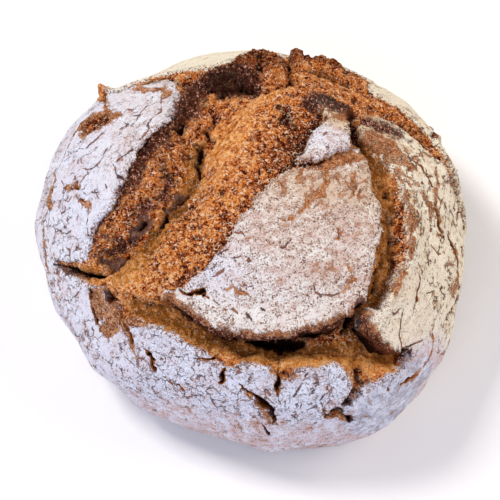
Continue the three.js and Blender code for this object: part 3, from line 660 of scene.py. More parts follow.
def insideOutline(u, v, corners):
    # how far inside a closed outline, in mm, up to outlineReach; negative outside
    closed = corners + corners[:1]
    nearest = np.full(len(u), outlineReach)
    for near, away, _ in stretches(u, v, closed, outlineReach):
        nearest[near] = np.minimum(nearest[near], away)
    inside = np.zeros(len(u), bool)
    for start, end in zip(closed, closed[1:]):
        if start[1] != end[1]:
            rows = np.flatnonzero((start[1] > v) != (end[1] > v))
            crossing = start[0] + (v[rows] - start[1]) / (end[1] - start[1]) * (end[0] - start[0])
            inside[rows] ^= u[rows] < crossing
    return np.where(inside, nearest, -nearest)


def insideTorn(u, v):
    # how far inside the torn part, in mm; negative on floured crust
    torn = insideOutline(u, v, sum(tornOutline.values(), []))
    for height, corners in plates.values():
        torn = np.minimum(torn, -insideOutline(u, v, corners))
    return np.maximum(torn, insideStrokes(u, v, tornSpots))


# How much of the push a point gets, by how far inside the torn part it is, in mm.
overhangProfile = [-12, -6, -1, 0, 1, 3, 9], [0, 0.4, 1, 1, -0.6, -0.5, 0]


def overhangShift(u, v, torn, step=1.5):
    # moves crust edges out over the torn part, and what lies under them back
    push = np.max([strokeShare(u, v, path) for path in overhangs.values()], axis=0)
    near = np.flatnonzero(push > 0.05)
    across = insideTorn(u[near] + step, v[near]) - insideTorn(u[near] - step, v[near])
    along = insideTorn(u[near], v[near] + step) - insideTorn(u[near], v[near] - step)
    length = np.maximum(np.hypot(across, along), 0.5)
    profile = np.interp(torn[near], *overhangProfile)
    shift = np.zeros((len(u), 2))
    shift[near, 0] = push[near] * profile * across / length
    shift[near, 1] = push[near] * profile * along / length
    return shift


def blendRegions(u, v, regions, count):
    # each trait, mixed from the regions by how near they are
    total = np.full(len(u), 1e-4)
    mixed = np.full((len(u), count), 0.4e-4)
    for u0, v0, reachU, reachV, values in regions.values():
        share = np.exp(-((u - u0) / reachU) ** 2 - ((v - v0) / reachV) ** 2)
        total += share
        mixed += share[:, None] * np.array(values)
    return mixed / total[:, None]


def sumLumps(u, v, spots):
    return sum(size * np.exp(-((u - u0) / reachU) ** 2 - ((v - v0) / reachV) ** 2)
               for u0, v0, reachU, reachV, size in spots.values())


def deselectAll():
    bpy.ops.object.select_all(action="DESELECT")


def readAll(items, name, wide=1, kind=np.float32):
    # one property of all vertices, faces or the like, in rows of wide numbers
    values = np.zeros(len(items) * wide, kind)
    items.foreach_get(name, values)
    return values.reshape(-1, wide) if wide > 1 else values


def setField(mesh, name, values):
    field = mesh.attributes.new(name, "FLOAT", "POINT")
    field.data.foreach_set("value", values.astype(np.float32))


def getField(mesh, name):
    return readAll(mesh.attributes[name].data, "value")


def getPlaces(mesh):
    return readAll(mesh.vertices, "co", 3).astype(float)


def setPlaces(mesh, places):
    mesh.vertices.foreach_set("co", places.astype(np.float32).ravel())
    mesh.update()


def weightGroup(piece, name, weights, levels=20):
    group = piece.vertex_groups.new(name=name)
    steps = np.round(np.clip(weights, 0, 1) * levels).astype(int)
    for level in range(1, levels + 1):
        group.add(np.flatnonzero(steps == level).tolist(), level / levels, "REPLACE")


def startLoaf():
    s = loafForm
    deselectAll()
    bpy.ops.mesh.primitive_cube_add(size=2, location=(0, 0, 0))
    loaf = bpy.context.object
    loaf.name = "rye_loaf"
    bpy.ops.object.mode_set(mode="EDIT")
    bpy.ops.mesh.select_all(action="SELECT")
    cuts = round(math.sqrt(s["sideCuts"])) - 1
    bpy.ops.mesh.subdivide(number_cuts=cuts)
    bpy.ops.mesh.subdivide(number_cuts=cuts)
    bpy.ops.object.mode_set(mode="OBJECT")

    # the torn part and the drawn cracks get a finer mesh
    u, v = crustMap(getPlaces(loaf.data))[:2]
    drawn = [insideStrokes(u, v, strokes) for strokes in (barePlaces, gaps, splits, hairCracks)]
    fine = np.max([insideTorn(u, v) - 0.5] + drawn, axis=0) > -s["fineMargin"]
    bpy.ops.object.mode_set(mode="EDIT")
    bpy.ops.mesh.select_mode(type="VERT")
    bpy.ops.mesh.select_all(action="DESELECT")
    bpy.ops.object.mode_set(mode="OBJECT")
    loaf.data.vertices.foreach_set("select", fine)
    bpy.ops.object.mode_set(mode="EDIT")
    bpy.ops.mesh.select_mode(type="FACE")
    bpy.ops.mesh.subdivide(number_cuts=1)
    bpy.ops.object.mode_set(mode="OBJECT")
    print("loaf started,", len(loaf.data.vertices), "points")
    return loaf


def wander(places, seed):
    return sum(size * grain(places, lump, seed + turn)
               for turn, (size, lump) in enumerate(loafForm["ragged"]))


def shapeLoaf(loaf):
    s = loafForm
    u, v, angle, polar, turn, inward = crustMap(getPlaces(loaf.data))
    onBase = inward < 1
    body = bodyPoint(angle, polar)
    body[:, :2] *= inward[:, None]

    # ragged edges: every outline and crack wanders a little, and a split's width varies
    du, dv = wander(body, 11), wander(body, 21)
    ru, rv = u + du, v + dv
    amount, lump = s["uneven"]
    wider = np.clip(1 + amount * grain(body, lump, 31), 0.2, 2)

    torn = insideTorn(ru, rv)
    trench = np.max([crackDepth(ru, rv, torn, *crack) for crack in cracks.values()], axis=0)
    cleft = np.max([splitDepth(ru, rv, path, wider) for path in splits.values()], axis=0)
    gap = np.max([splitDepth(ru, rv, path, np.ones(len(u))) for path in gaps.values()], axis=0)

    # flakes of flour lie around the loaf, and aslant on the middle plate
    around = insideOutline(u, v, plates["middlePlate"][1]) < 0
    slantU, slantV = s["flakeSlant"]
    fields = {
        "torn": torn,
        "bare": insideStrokes(ru, rv, barePlaces),
        "scorch": insideStrokes(ru, rv, scorchMarks),
        "ash": insideStrokes(ru, rv, ashMarks),
        "olive": insideStrokes(ru, rv, protectedPlaces),
        "seam": insideStrokes(ru, rv, splits, wider),
        "hair": insideStrokes(u + du / 2, v + dv / 2, hairCracks),
        "gap": insideStrokes(ru, rv, gaps),
        "tone": np.clip(sumLumps(u, v, crumbTones), -1, 1),
        "across": np.where(around, np.hypot(u, v), slantU * u - slantV * v),
        "along": np.where(around, angle * s["flakeRound"], slantV * u + slantU * v),
        "turn": turn,
        "mapU": u,
        "mapV": v,
    }
    regional = blendRegions(u, v, flourRegions, len(flourTraits))
    fields.update(zip(flourTraits, regional.T))

    rise = sumLumps(u, v, lumps)
    for wavelength, size, degrees in s["swells"]:
        along = u * math.cos(math.radians(degrees)) + v * math.sin(math.radians(degrees))
        rise += size * np.sin(2 * math.pi * along / wavelength)
    for raised, edge in ((plates, s["plateEdge"]), (slabs, s["slabEdge"])):
        for height, corners in raised.values():
            rise += height * smooth(insideOutline(ru, rv, corners) / edge + 0.5)
    rise -= np.maximum(trench + gap, cleft)
    rise -= s["crustStep"] * smooth(torn / s["plateEdge"] + 0.5)
    rise += s["lip"] * np.exp(-((torn + s["lipBack"]) / s["lipReach"]) ** 2)
    rise *= smooth(body[:, 2] / s["calmHeight"]) * ~onBase

    shift = overhangShift(ru, rv, torn) * ~onBase[:, None]
    moved = np.hypot(shift[:, 0], shift[:, 1]) > 0
    body[moved] = mapPoint(u[moved] + shift[moved, 0], v[moved] + shift[moved, 1])
    places = body + outwardAt(u + shift[:, 0], v + shift[:, 1]) * rise[:, None]

    setPlaces(loaf.data, places * mm)
    for name, values in fields.items():
        setField(loaf.data, name, values)

    # where the relief below works, and where the mesh may get coarser
    standing = smooth(body[:, 2] / 10) * ~onBase
    onPlates = smooth(-torn / 2 + 0.5)
    rough = np.clip(sumLumps(u, v, roughPlaces), 0, 1)
    lips = smooth(1 - np.abs(fields["bare"] + 0.5) / 2)
    weightGroup(loaf, "crumb", smooth(torn / 2 + 0.3) * standing)
    weightGroup(loaf, "plates", onPlates * standing)
    weightGroup(loaf, "rough", smooth(torn / 3 + 0.2) * standing * rough)
    weightGroup(loaf, "bareCrust", lips * onPlates * standing)
    drawn = np.min([np.abs(fields[name]) for name in ("bare", "gap", "seam", "hair")], axis=0)
    weightGroup(loaf, "thinnable", (drawn > 1.1) | (torn > -0.5))
    print("loaf shaped")


# Relief in mm: where, size of lumps, strength (under 0 inwards), finer levels, creased.
reliefs = [
    ("rough", 10, -7, 2, True),
    ("rough", 4.5, -4, 1, True),
    ("crumb", 9, 2.6, 1, False),
    ("crumb", 3.6, -1.3, 1, True),
    ("crumb", 1.6, 0.8, 0, False),
    ("bareCrust", 5, 1.4, 1, False),
    ("bareCrust", 1.8, 0.8, 1, False),
    ("plates", 13, 1.4, 1, False),
    ("plates", 2.4, 0.35, 2, False),
]


def roughenLoaf(loaf):
    for group, size, strength, levels, creased in reliefs:
        texture = bpy.data.textures.new("clouds", "CLOUDS")
        texture.noise_scale = size * mm
        texture.noise_depth = levels
        texture.noise_type = "HARD_NOISE" if creased else "SOFT_NOISE"
        modifier = loaf.modifiers.new("relief", "DISPLACE")
        modifier.texture = texture
        modifier.texture_coords = "LOCAL"
        modifier.strength = strength * mm
        modifier.vertex_group = group
        applyModifier(loaf, modifier)
    print("loaf roughened")


def applyModifier(piece, modifier):
    deselectAll()
    piece.select_set(True)
    bpy.context.view_layer.objects.active = piece
    bpy.ops.object.modifier_apply(modifier=modifier.name)


def thinLoaf(loaf):
    modifier = loaf.modifiers.new("thin", "DECIMATE")
    modifier.ratio = loafForm["triangles"] / (2 * len(loaf.data.polygons))
    modifier.vertex_group = "thinnable"
    applyModifier(loaf, modifier)
    bpy.ops.object.shade_smooth()
    print("loaf thinned to", len(loaf.data.polygons), "faces")


def fitToFrame(loaf):
    # the finished loaf fills the CAD box and stays inside it
    places = getPlaces(loaf.data)
    low, high = places.min(axis=0), places.max(axis=0)
    print("sides before fitting, mm:", np.round((high - low) / mm, 1))
    side = np.array(cadHigh - cadLow) - 2 * (loafForm["room"] * mm)
    middle = np.array(cadHigh + cadLow) / 2
    places = (places - (low + high) / 2) * (side / (high - low)) + middle
    places[:, 2] -= places[:, 2].min()
    setPlaces(loaf.data, places)


# Fields that tell how far a point lies under its surroundings, after this much smoothing.
# The crumb is painted darker where these are high and lighter where they are low: painted shade in pits and
# hollows, painted light on humps.
smoothingRounds = {3: "pit", 40: "hollow"}


def markHollows(loaf):
    mesh = loaf.data
    places = getPlaces(mesh) / mm
    a, b = readAll(mesh.edges, "vertices", 2, np.int32).T
    ends, others = np.concatenate([a, b]), np.concatenate([b, a])
    count = np.maximum(np.bincount(ends, minlength=len(places)), 1)
    normals = readAll(mesh.vertex_normals, "vector", 3)
    calm = places.copy()
    for turn in range(1, max(smoothingRounds) + 1):
        for axis in range(3):
            calm[:, axis] = np.bincount(ends, calm[others, axis], len(places)) / count
        if turn in smoothingRounds:
            setField(mesh, smoothingRounds[turn], ((calm - places) * normals).sum(axis=1))
    print("hollows marked")


# The crust lies flat as one disc, and the base as a small one in the corner.
unwrapDiscs = {
    "crust": (0.45, 0.44),      # middle and radius on the UV map
    "base": (0.865, 0.125),
}


def unwrapLoaf(loaf):
    s = loafForm
    mesh = loaf.data
    loops = readAll(mesh.loops, "vertex_index", kind=np.int32)
    starts = readAll(mesh.polygons, "loop_start", kind=np.int32)
    sides = readAll(mesh.polygons, "loop_total", kind=np.int32)
    u, v, turn = (getField(mesh, name).astype(float) for name in ("mapU", "mapV", "turn"))
    angle, run = np.arctan2(v, u), np.hypot(u, v)
    edgeTurn = baseEdgeTurn()
    onTop = np.minimum(run, s["crustRun"])
    onFlank = np.maximum(run - s["crustRun"], 0) / s["crustRun"] * s["flankRun"]
    crustShare = (onTop + onFlank) / (s["crustRun"] + s["flankRun"])
    baseShare = np.clip((math.pi - turn) / (math.pi - edgeTurn), 0, 1)
    under = np.repeat(np.add.reduceat(turn[loops], starts) / sides > edgeTurn, sides)
    crustMiddle, crustRadius = unwrapDiscs["crust"]
    baseMiddle, baseRadius = unwrapDiscs["base"]
    radius = np.where(under, baseRadius * baseShare[loops], crustRadius * crustShare[loops])
    middle = np.where(under, baseMiddle, crustMiddle)
    aim = angle[loops]
    spots = np.stack([middle + radius * np.cos(aim), middle + radius * np.sin(aim)], axis=1)
    layer = mesh.uv_layers.new(name="OFBake")
    layer.data.foreach_set("uv", spots.astype(np.float32).ravel())
    print("loaf unwrapped")


loaf = startLoaf()
shapeLoaf(loaf)
roughenLoaf(loaf)
thinLoaf(loaf)
fitToFrame(loaf)
markHollows(loaf)
unwrapLoaf(loaf)


def tint(red, green, blue):
    # a colour as it looks on screen, 0 to 255, made linear
    shares = [c / 255 for c in (red, green, blue)]
    return tuple(c / 12.92 if c < 0.04 else ((c + 0.055) / 1.055) ** 2.4 for c in shares) + (1,)


class Nodes:
    # short names for the nodes of one material
    def __init__(self, name):
        self.material = bpy.data.materials.new(name)
        self.material.use_nodes = True
        self.tree = self.material.node_tree
        self.shader = self.tree.nodes["Principled BSDF"]

    def add(self, kind, inputs=None, **settings):
        node = self.tree.nodes.new(kind)
        for name, value in settings.items():
            setattr(node, name, value)
        for socket, value in (inputs or {}).items():
            self.feed(node.inputs[socket], value)
        return node

    def feed(self, socket, value):
        if isinstance(value, bpy.types.NodeSocket):
            self.tree.links.new(value, socket)
        else:
            socket.default_value = value

    def place(self):
        return self.add("ShaderNodeTexCoord").outputs["Object"]

    def field(self, name):
        return self.add("ShaderNodeAttribute", attribute_name=name).outputs["Fac"]

    def math(self, operation, a, b, clamp=False):
        return self.add("ShaderNodeMath", {0: a, 1: b}, operation=operation, use_clamp=clamp).outputs[0]

    def fold(self, operation, values):
        total = values[0]
        for value in values[1:]:
            total = self.math(operation, total, value)
        return total

    def sum(self, *values):
        return self.fold("ADD", values)

    def times(self, *values):
        return self.fold("MULTIPLY", values)

    def largest(self, *values):
        return self.fold("MAXIMUM", values)

    def less(self, a, b):
        return self.math("SUBTRACT", a, b)

    def spread(self, value, amount):
        # a 0 to 1 pattern made to swing about 0
        return self.times(self.less(value, 0.5), amount)

    def stretch(self, value, low, high, toLow=0.0, toHigh=1.0):
        # eases from toLow to toHigh as the value goes from low to high
        ends = {"From Min": low, "From Max": high, "To Min": toLow, "To Max": toHigh}
        return self.add("ShaderNodeMapRange", {"Value": value, **ends},
                        interpolation_type="SMOOTHSTEP").outputs["Result"]

    def ease(self, share, atNone, atFull):
        # from atNone to atFull as a 0 to 1 share goes up
        return self.stretch(share, 0, 1, atNone, atFull)

    def cells(self, place, size, feature="F1"):
        return self.add("ShaderNodeTexVoronoi", {"Vector": place, "Scale": 1 / (size * mm)},
                        feature=feature).outputs

    def edges(self, place, size):
        # how far off the edge between two cells is, in mm
        return self.times(self.cells(place, size, "DISTANCE_TO_EDGE")["Distance"], size)

    def chance(self, place, size):
        # one random number for each cell
        spot = self.cells(place, size)["Position"]
        return self.add("ShaderNodeTexWhiteNoise", {"Vector": spot}).outputs["Value"]

    def noise(self, place, size, detail, rough, colour=False):
        node = self.add("ShaderNodeTexNoise", {"Vector": place, "Scale": 1 / (size * mm),
                                               "Detail": detail, "Roughness": rough})
        return node.outputs["Color" if colour else "Fac"]

    def blend(self, factor, a, b, way="MIX"):
        node = self.add("ShaderNodeMix", data_type="RGBA", blend_type=way)
        for socket, value in zip((0, 6, 7), (factor, a, b)):
            self.feed(node.inputs[socket], value)
        return node.outputs[2]

    def offset(self, place, metres):
        return self.add("ShaderNodeVectorMath", {0: place, 1: (metres, 0, 0)}).outputs[0]

    def shift(self, place, by, reach):
        # moves a place by a random colour, up to reach mm each way
        middle = self.add("ShaderNodeVectorMath", {0: by, 1: (0.5, 0.5, 0.5)}, operation="SUBTRACT")
        scaled = self.add("ShaderNodeVectorMath", {0: middle.outputs[0], "Scale": 2 * reach * mm},
                          operation="SCALE")
        return self.add("ShaderNodeVectorMath", {0: place, 1: scaled.outputs[0]}).outputs[0]

    def bend(self, place, slow, quick, reaches):
        return self.shift(self.shift(place, slow, reaches[0]), quick, reaches[1])


crustColours = {
    # the mix of these and of the thin flours is partly a painted tint of cool and warm light
    "flourCool": (230, 233, 249),
    "flourCream": (248, 238, 214),
    "flourThin": (212, 184, 184),     # the skin shows through
    "creamThin": (220, 194, 162),
    "coolThin": (168, 170, 190),
    "sand": (182, 154, 138),          # flour grains with crust between them
    "sandDark": (98, 64, 50),
    "skinPale": (208, 160, 124),      # crust without flour
    "skin": (168, 106, 64),
    "skinDark": (104, 54, 30),
    "crackle": (148, 92, 68),
    "crackleDark": (66, 38, 42),
    "splitWall": (172, 104, 56),
    # painted shade deep inside splits
    "splitShade": (30, 12, 6),
    # darkest crumb and pores; also where the painted shade in pits, hollows and round gaps is deepest
    "pit": (50, 14, 0),
    "crumbRed": (118, 46, 16),
    "crumbOrange": (190, 106, 48),
    "crumbGold": (224, 152, 80),
    "crumbPale": (246, 196, 138),
    "crumbShade": (196, 186, 172),    # darkens the crumb that stood up in the heat
    # pale flakes of torn skin with painted highlights on their edges
    "highlightDash": (254, 218, 186),
    "olive": (158, 102, 36),
    "scorch": (100, 48, 36),
    "scorchDark": (26, 7, 5),
    "scorchSpeck": (226, 170, 146),
    "ash": (104, 80, 78),
    # painted shade, near black inside gaps
    "deep": (20, 5, 0),
    "baseCrust": (150, 104, 74),
    "baseDark": (98, 60, 40),
}

# Sizes of the crust's patterns in mm, and its shader's values.
crustGrain = {
    # crackle: cells across, line width, how readily, seed
    "crackle": [(12, 0.8, 1, 4), (6.5, 0.7, 1, 1), (3.6, 0.5, 0.9, 2), (1.9, 0.35, 0.7, 3)],
    "crackleEdge": 0.2,         # the width over which a line fades
    "flake": 9,
    "longFlake": 5.2,
    "flakeStretch": 0.36,       # width of a long flake over its length
    "bend": (8, 1.6),           # slow and quick waves that bend the flour's patterns
    "flakeBend": (4, 0.9),      # how far they do: flakes, long flakes and single grains
    "longFlakeBend": (2.2, 0.6),
    "grainBend": 0.4,
    "patch": 9,
    "drift": 3,
    "ink": 4,                   # where crackle is darker
    "flourFine": 0.75,
    "flourStreak": 2.2,
    "flourGrain": 0.6,
    "crumbBend": (1.4, 1.1),    # size of the waves, and how far they bend
    "crumbLump": 5,
    "crumbMid": 2.3,
    "crumbFine": 0.9,
    "crumbGrain": 1.2,
    "crumbNet": 2.1,            # between the light dashes on the crumb
    "pore": 1.7,
    "scorchStreak": 1.3,
    "scorchSlant": 38,          # degrees
    "scorchStretch": 0.4,
    "scorchFine": 1.0,
    "scorchGrain": 0.8,
    "tearEdge": 1.5,            # where flour ends and crumb begins
    "baseBrown": 16,
    "baseFlour": 4,
    "bump": 0.9,
    "flourRoughness": 0.94,
    "crumbRoughness": 0.72,
    "specular": 0.06,
}

# The stretch of its pattern or field over which each layer of the crust comes in, or
# over which it fades out.
crustLayers = {
    "creamThin": (0.3, 0.9),
    "coolThin": (-0.15, -0.4),
    "worn": (0.56, 0.86),       # thin flour
    "fringe": (-5.0, -0.5),     # sandier flour along the torn part
    "sand": (0.0, 0.26),
    "sandDark": (0.19, 0.25),
    "skin": (0.3, 0.52),
    "skinPale": (0.55, 0.66),
    "fleck": (0.6, 0.66),       # of flour on bare skin
    "rubbed": (0.72, 0.78),     # flour rubbed off
    "crackle": (0.6, 1.0),
    "hair": (0.0, 0.3),
    "ink": (0.42, 0.6),         # darker crackle
    "longFlakes": (0.15, 0.5),
    "partingCore": (0.05, 0.3),         # dark line between long flakes, where the grain lets it
    "partingGrain": (0.42, 0.55),
    "bare": (-0.3, 0.3),
    "splitWall": (-0.45, -0.2),
    "splitShade": (0.0, 0.35),
    "torn": (-0.25, 0.25),
    "golden": (-0.1, 1.0),
    "shaded": (-1.0, -0.35),
    # painted light on humps and painted shade in pits and hollows of the crumb
    "pit": (-0.35, 0.4),
    "hollow": (-1.0, 3.0),
    "olive": (-1.5, 2.5),
    "highlightDash": (0.08, 0.26),       # off the net's lines, where the grain lets it
    "dashGrain": (0.5, 0.56),
    "pore": (0.27, 0.315),
    "scorch": (-1.6, 1.4),
    "scorchLight": (0.42, 0.62),
    "scorchSpeck": (0.66, 0.76),
    "scorchDeep": (2.6, 5.6),
    "ash": (-1.0, 1.0),
    "ashDust": (0.3, 0.65),
    # a brown rim round gaps in flour, then painted shade: a dark halo and near black inside
    "gapRim": (-1.0, -0.5),
    "gapShadeHalo": (-1.6, 0.0),
    "gapShadeDeep": (-0.2, 0.5),
    "baseDark": (0.42, 0.6),
    "baseFlour": (0.55, 0.68),
    "base": (2.05, 2.13),       # radians from the top
}


def layer(n, name, value, toLow=0.0, toHigh=1.0):
    return n.stretch(value, *crustLayers[name], toLow, toHigh)


def crackLines(n, coordinates, place, size, width, share, seed):
    # broken lines between cells size mm across, up to width mm wide, on this share
    away = n.edges(coordinates, size)
    mask = n.noise(n.offset(place, seed), size * 0.55, 2, 0.5)
    reach = layer(n, "crackle", n.sum(mask, n.times(share, 0.4)), -0.1, width / 2)
    return n.math("MULTIPLY", n.less(reach, away), 1 / crustGrain["crackleEdge"], clamp=True)


def flourCoat(n, colours, place, f):
    s = crustGrain
    slow = n.noise(place, s["bend"][0], 3, 0.6, colour=True)
    quick = n.noise(place, s["bend"][1], 3, 0.65, colour=True)
    bent = n.bend(place, slow, quick, s["flakeBend"])
    laid = n.add("ShaderNodeCombineXYZ", {0: n.times(f["across"], mm),
                                          1: n.times(f["along"], s["flakeStretch"] * mm)}).outputs[0]
    laid = n.bend(laid, slow, quick, s["longFlakeBend"])
    patch = n.noise(place, s["patch"], 3, 0.6)
    drift = n.noise(place, s["drift"], 5, 0.68)
    fine = n.noise(place, s["flourFine"], 3, 0.7)
    streak = n.noise(laid, s["flourStreak"], 4, 0.65)
    luck = n.chance(n.shift(place, quick, s["grainBend"]), s["flourGrain"])
    flakes = n.chance(bent, s["flake"])
    laidFlakes = n.chance(laid, s["longFlake"])
    flaky = layer(n, "longFlakes", f["flake"])

    # flour, cool or cream, the mix partly a painted tint of cool and warm light; each flake a shade of its
    # own
    coat = n.blend(f["cream"], colours["flourCool"], colours["flourCream"])
    shade = n.blend(flaky, flakes, laidFlakes)
    worn = n.blend(layer(n, "creamThin", f["cream"]), colours["flourThin"], colours["creamThin"])
    worn = n.blend(layer(n, "coolThin", f["cream"]), worn, colours["coolThin"])
    coat = n.blend(n.ease(shade, 0, 0.25), coat, worn)
    thin = n.sum(n.times(f["thin"], 0.4), n.spread(drift, 0.9), n.spread(patch, 0.7), 0.5)
    coat = n.blend(n.times(layer(n, "worn", thin), 0.9), coat, worn)

    # sand: tan drifts and dark specks, more of both along torn edges
    fringe = layer(n, "fringe", f["torn"])
    share = n.largest(n.ease(f["sand"], 0.12, 0.9), n.times(fringe, 0.8))
    sandy = n.sum(n.spread(fine, 1.2), n.spread(luck, 0.3), n.spread(streak, 1.0), n.spread(drift, 0.4),
                  n.times(f["sand"], 0.1))
    coat = n.blend(n.times(layer(n, "sand", sandy), share), coat, colours["sand"])
    specks = n.sum(n.spread(luck, 0.5), n.spread(streak, 0.7), n.spread(fine, 0.6), n.spread(drift, 0.4),
                   n.times(fringe, 0.1))
    coat = n.blend(n.times(layer(n, "sandDark", specks), share), coat, colours["sandDark"])

    # bare skin, with flecks of flour left on it
    darker = n.sum(drift, n.spread(fine, 1.0))
    skin = n.blend(layer(n, "skin", darker), colours["skinDark"], colours["skin"])
    paler = n.sum(drift, n.spread(luck, 0.3), n.spread(fine, 0.5), n.times(f["tone"], 0.1))
    skin = n.blend(layer(n, "skinPale", paler), skin, colours["skinPale"])
    fleck = n.sum(streak, n.spread(fine, 0.8), n.times(f["flake"], 0.05))
    skin = n.blend(n.times(layer(n, "fleck", fleck), 0.75), skin, coat)
    rubbed = n.sum(n.times(drift, 0.5), n.times(streak, 0.6), n.spread(patch, 0.4), n.times(f["thin"], 0.16))
    coat = n.blend(layer(n, "rubbed", rubbed), coat, skin)

    # crackle
    strength = n.sum(f["crackle"], n.spread(patch, 1.2))
    lines = [crackLines(n, bent, place, size, width, n.times(strength, share), seed)
             for size, width, share, seed in s["crackle"]]
    hair = layer(n, "hair", n.sum(f["hair"], n.spread(drift, 2.0)))
    crackle = n.largest(*lines, hair)
    inky = layer(n, "ink", n.noise(place, s["ink"], 2, 0.6))
    ink = n.blend(inky, colours["crackle"], colours["crackleDark"])
    coat = n.blend(n.times(crackle, 0.92), coat, ink)

    # long flakes with brown crust between them
    parted = n.edges(laid, s["longFlake"])
    parting = n.sum(-0.32, n.spread(drift, 3.2), n.spread(patch, 2.6), n.times(f["flake"], 0.6))
    parting = n.math("MULTIPLY", n.less(parting, parted), 3.5, clamp=True)
    parting = n.times(parting, flaky)
    coat = n.blend(parting, coat, skin)
    core = n.times(layer(n, "partingCore", parted, 1, 0), layer(n, "partingGrain", fine))
    coat = n.blend(n.times(core, parting, 0.9), coat, colours["crackleDark"])

    # bare crust, and splits: a crumb-coloured wall, then painted shade near black in their depth
    jag = n.sum(n.spread(patch, 6), n.spread(drift, 6), n.spread(luck, 1.2))
    bare = layer(n, "bare", n.sum(f["bare"], jag))
    coat = n.blend(bare, coat, skin)
    wall = n.sum(f["seam"], n.spread(drift, 2.6))
    coat = n.blend(layer(n, "splitWall", wall), coat, colours["splitWall"])
    coat = n.blend(layer(n, "splitShade", wall), coat, colours["splitShade"])
    height = n.sum(n.times(fine, 0.6), n.times(drift, 1.1), n.times(shade, 0.35),
                   n.times(n.largest(crackle, parting), -0.9), n.times(bare, -0.6))
    return coat, height


def tornCrumb(n, colours, place, f):
    s = crustGrain
    waves, reach = s["crumbBend"]
    quick = n.noise(place, waves, 3, 0.65, colour=True)
    bent = n.shift(place, quick, reach)
    luck = n.chance(bent, s["crumbGrain"])
    lump = n.noise(place, s["crumbLump"], 4, 0.62)
    mid = n.noise(place, s["crumbMid"], 4, 0.65)
    fine = n.noise(place, s["crumbFine"], 3, 0.7)

    # golden crumb is the smoothest
    grainy = n.sum(n.spread(mid, 0.5), n.spread(fine, 1.9), n.spread(luck, 0.3))
    grainy = n.times(grainy, layer(n, "golden", f["tone"], 1.0, 0.7))
    # the mood takes painted shade in pits and hollows and painted light on humps
    mood = n.sum(0.45, n.times(f["tone"], 0.2), n.spread(lump, 0.65), grainy,
                 layer(n, "pit", f["pit"], 0.1, -0.16),
                 layer(n, "hollow", f["hollow"], 0.08, -0.16))
    ramp = n.add("ShaderNodeValToRGB", {"Fac": mood})
    stops = [(0.12, "pit"), (0.3, "crumbRed"), (0.52, "crumbOrange"), (0.76, "crumbGold"),
             (0.98, "crumbPale")]
    for element, (position, name) in zip(ramp.color_ramp.elements, (stops[0], stops[-1])):
        element.position = position
        element.color = colours[name]
    for position, name in stops[1:-1]:
        ramp.color_ramp.elements.new(position).color = colours[name]
    crumb = ramp.outputs["Color"]

    shaded = layer(n, "shaded", f["tone"], 1, 0)
    crumb = n.blend(shaded, crumb, colours["crumbShade"], "MULTIPLY")
    olive = layer(n, "olive", n.sum(f["olive"], n.spread(lump, 8)))
    crumb = n.blend(n.times(olive, 0.5), crumb, colours["olive"])

    # light dashes: pale lifted edges of the torn skin, partly painted highlights on them, and dark pores
    net = n.edges(bent, s["crumbNet"])
    highlightDash = n.times(layer(n, "highlightDash", net, 1, 0), layer(n, "dashGrain", n.sum(mid, n.spread(fine, 0.7))))
    calm = n.times(layer(n, "golden", f["tone"], 0.9, 0.2), n.ease(olive, 1, 0.5))
    highlightDash = n.times(highlightDash, calm, n.ease(shaded, 1, 0.4))
    crumb = n.blend(highlightDash, crumb, colours["highlightDash"])
    pore = n.sum(n.noise(bent, s["pore"], 3, 0.6), n.spread(lump, 0.4))
    pore = layer(n, "pore", pore, 1, 0)
    crumb = n.blend(n.times(pore, 0.85), crumb, colours["pit"])
    height = n.sum(n.times(fine, 0.8), n.times(mid, 1.0), n.times(highlightDash, 0.4), n.times(pore, -0.7))
    return crumb, height


def heatMarks(n, colours, place, f, tornShare, colour):
    # scorched crust, in places also painted shade, and grey ash over whatever lies under them
    s = crustGrain
    lump = n.noise(place, s["crumbLump"], 4, 0.62)
    fine = n.noise(place, s["scorchFine"], 3, 0.68)
    slanted = n.add("ShaderNodeMapping", {
        "Vector": place, "Rotation": (0, 0, math.radians(s["scorchSlant"])),
        "Scale": (1, s["scorchStretch"], 1)}).outputs[0]
    streak = n.noise(slanted, s["scorchStreak"], 4, 0.7)
    quick = n.noise(place, s["crumbBend"][0], 3, 0.65, colour=True)
    grit = n.chance(n.shift(place, quick, s["grainBend"]), s["scorchGrain"])
    burn = n.sum(f["scorch"], n.spread(lump, 9), n.spread(streak, 5), n.ease(tornShare, -1.0, 0))
    mood = n.sum(streak, n.spread(fine, 1.0), n.spread(lump, 0.4))
    burnt = n.blend(layer(n, "scorchLight", mood), colours["scorchDark"], colours["scorch"])
    specks = layer(n, "scorchSpeck", n.sum(mood, n.spread(grit, 0.4)), 0, 0.85)
    burnt = n.blend(specks, burnt, colours["scorchSpeck"])
    burnt = n.blend(layer(n, "scorchDeep", burn, 0, 0.8), burnt, colours["scorchDark"])
    colour = n.blend(n.times(layer(n, "scorch", burn), 0.95), colour, burnt)
    ash = layer(n, "ash", n.sum(f["ash"], n.spread(lump, 7)))
    dusty = layer(n, "ashDust", n.sum(fine, n.spread(lump, 1.0)))
    dust = n.blend(dusty, colours["scorchDark"], colours["ash"])
    return n.blend(n.times(ash, n.ease(tornShare, 0, 0.85)), colour, dust)


def gapMarks(n, colours, f, ragged, tornShare, colour):
    # gaps: a brown rim where they cut flour, then painted shade: a dark halo, and near black inside
    deep = n.sum(f["gap"], n.spread(ragged, 3.2))
    rim = n.times(layer(n, "gapRim", deep), n.ease(tornShare, 0.85, 0))
    colour = n.blend(rim, colour, colours["skinDark"])
    shadeHalo = n.times(layer(n, "gapShadeHalo", deep), n.ease(tornShare, 0.15, 0.55))
    colour = n.blend(shadeHalo, colour, colours["pit"])
    return n.blend(n.times(layer(n, "gapShadeDeep", deep), 0.95), colour, colours["deep"])


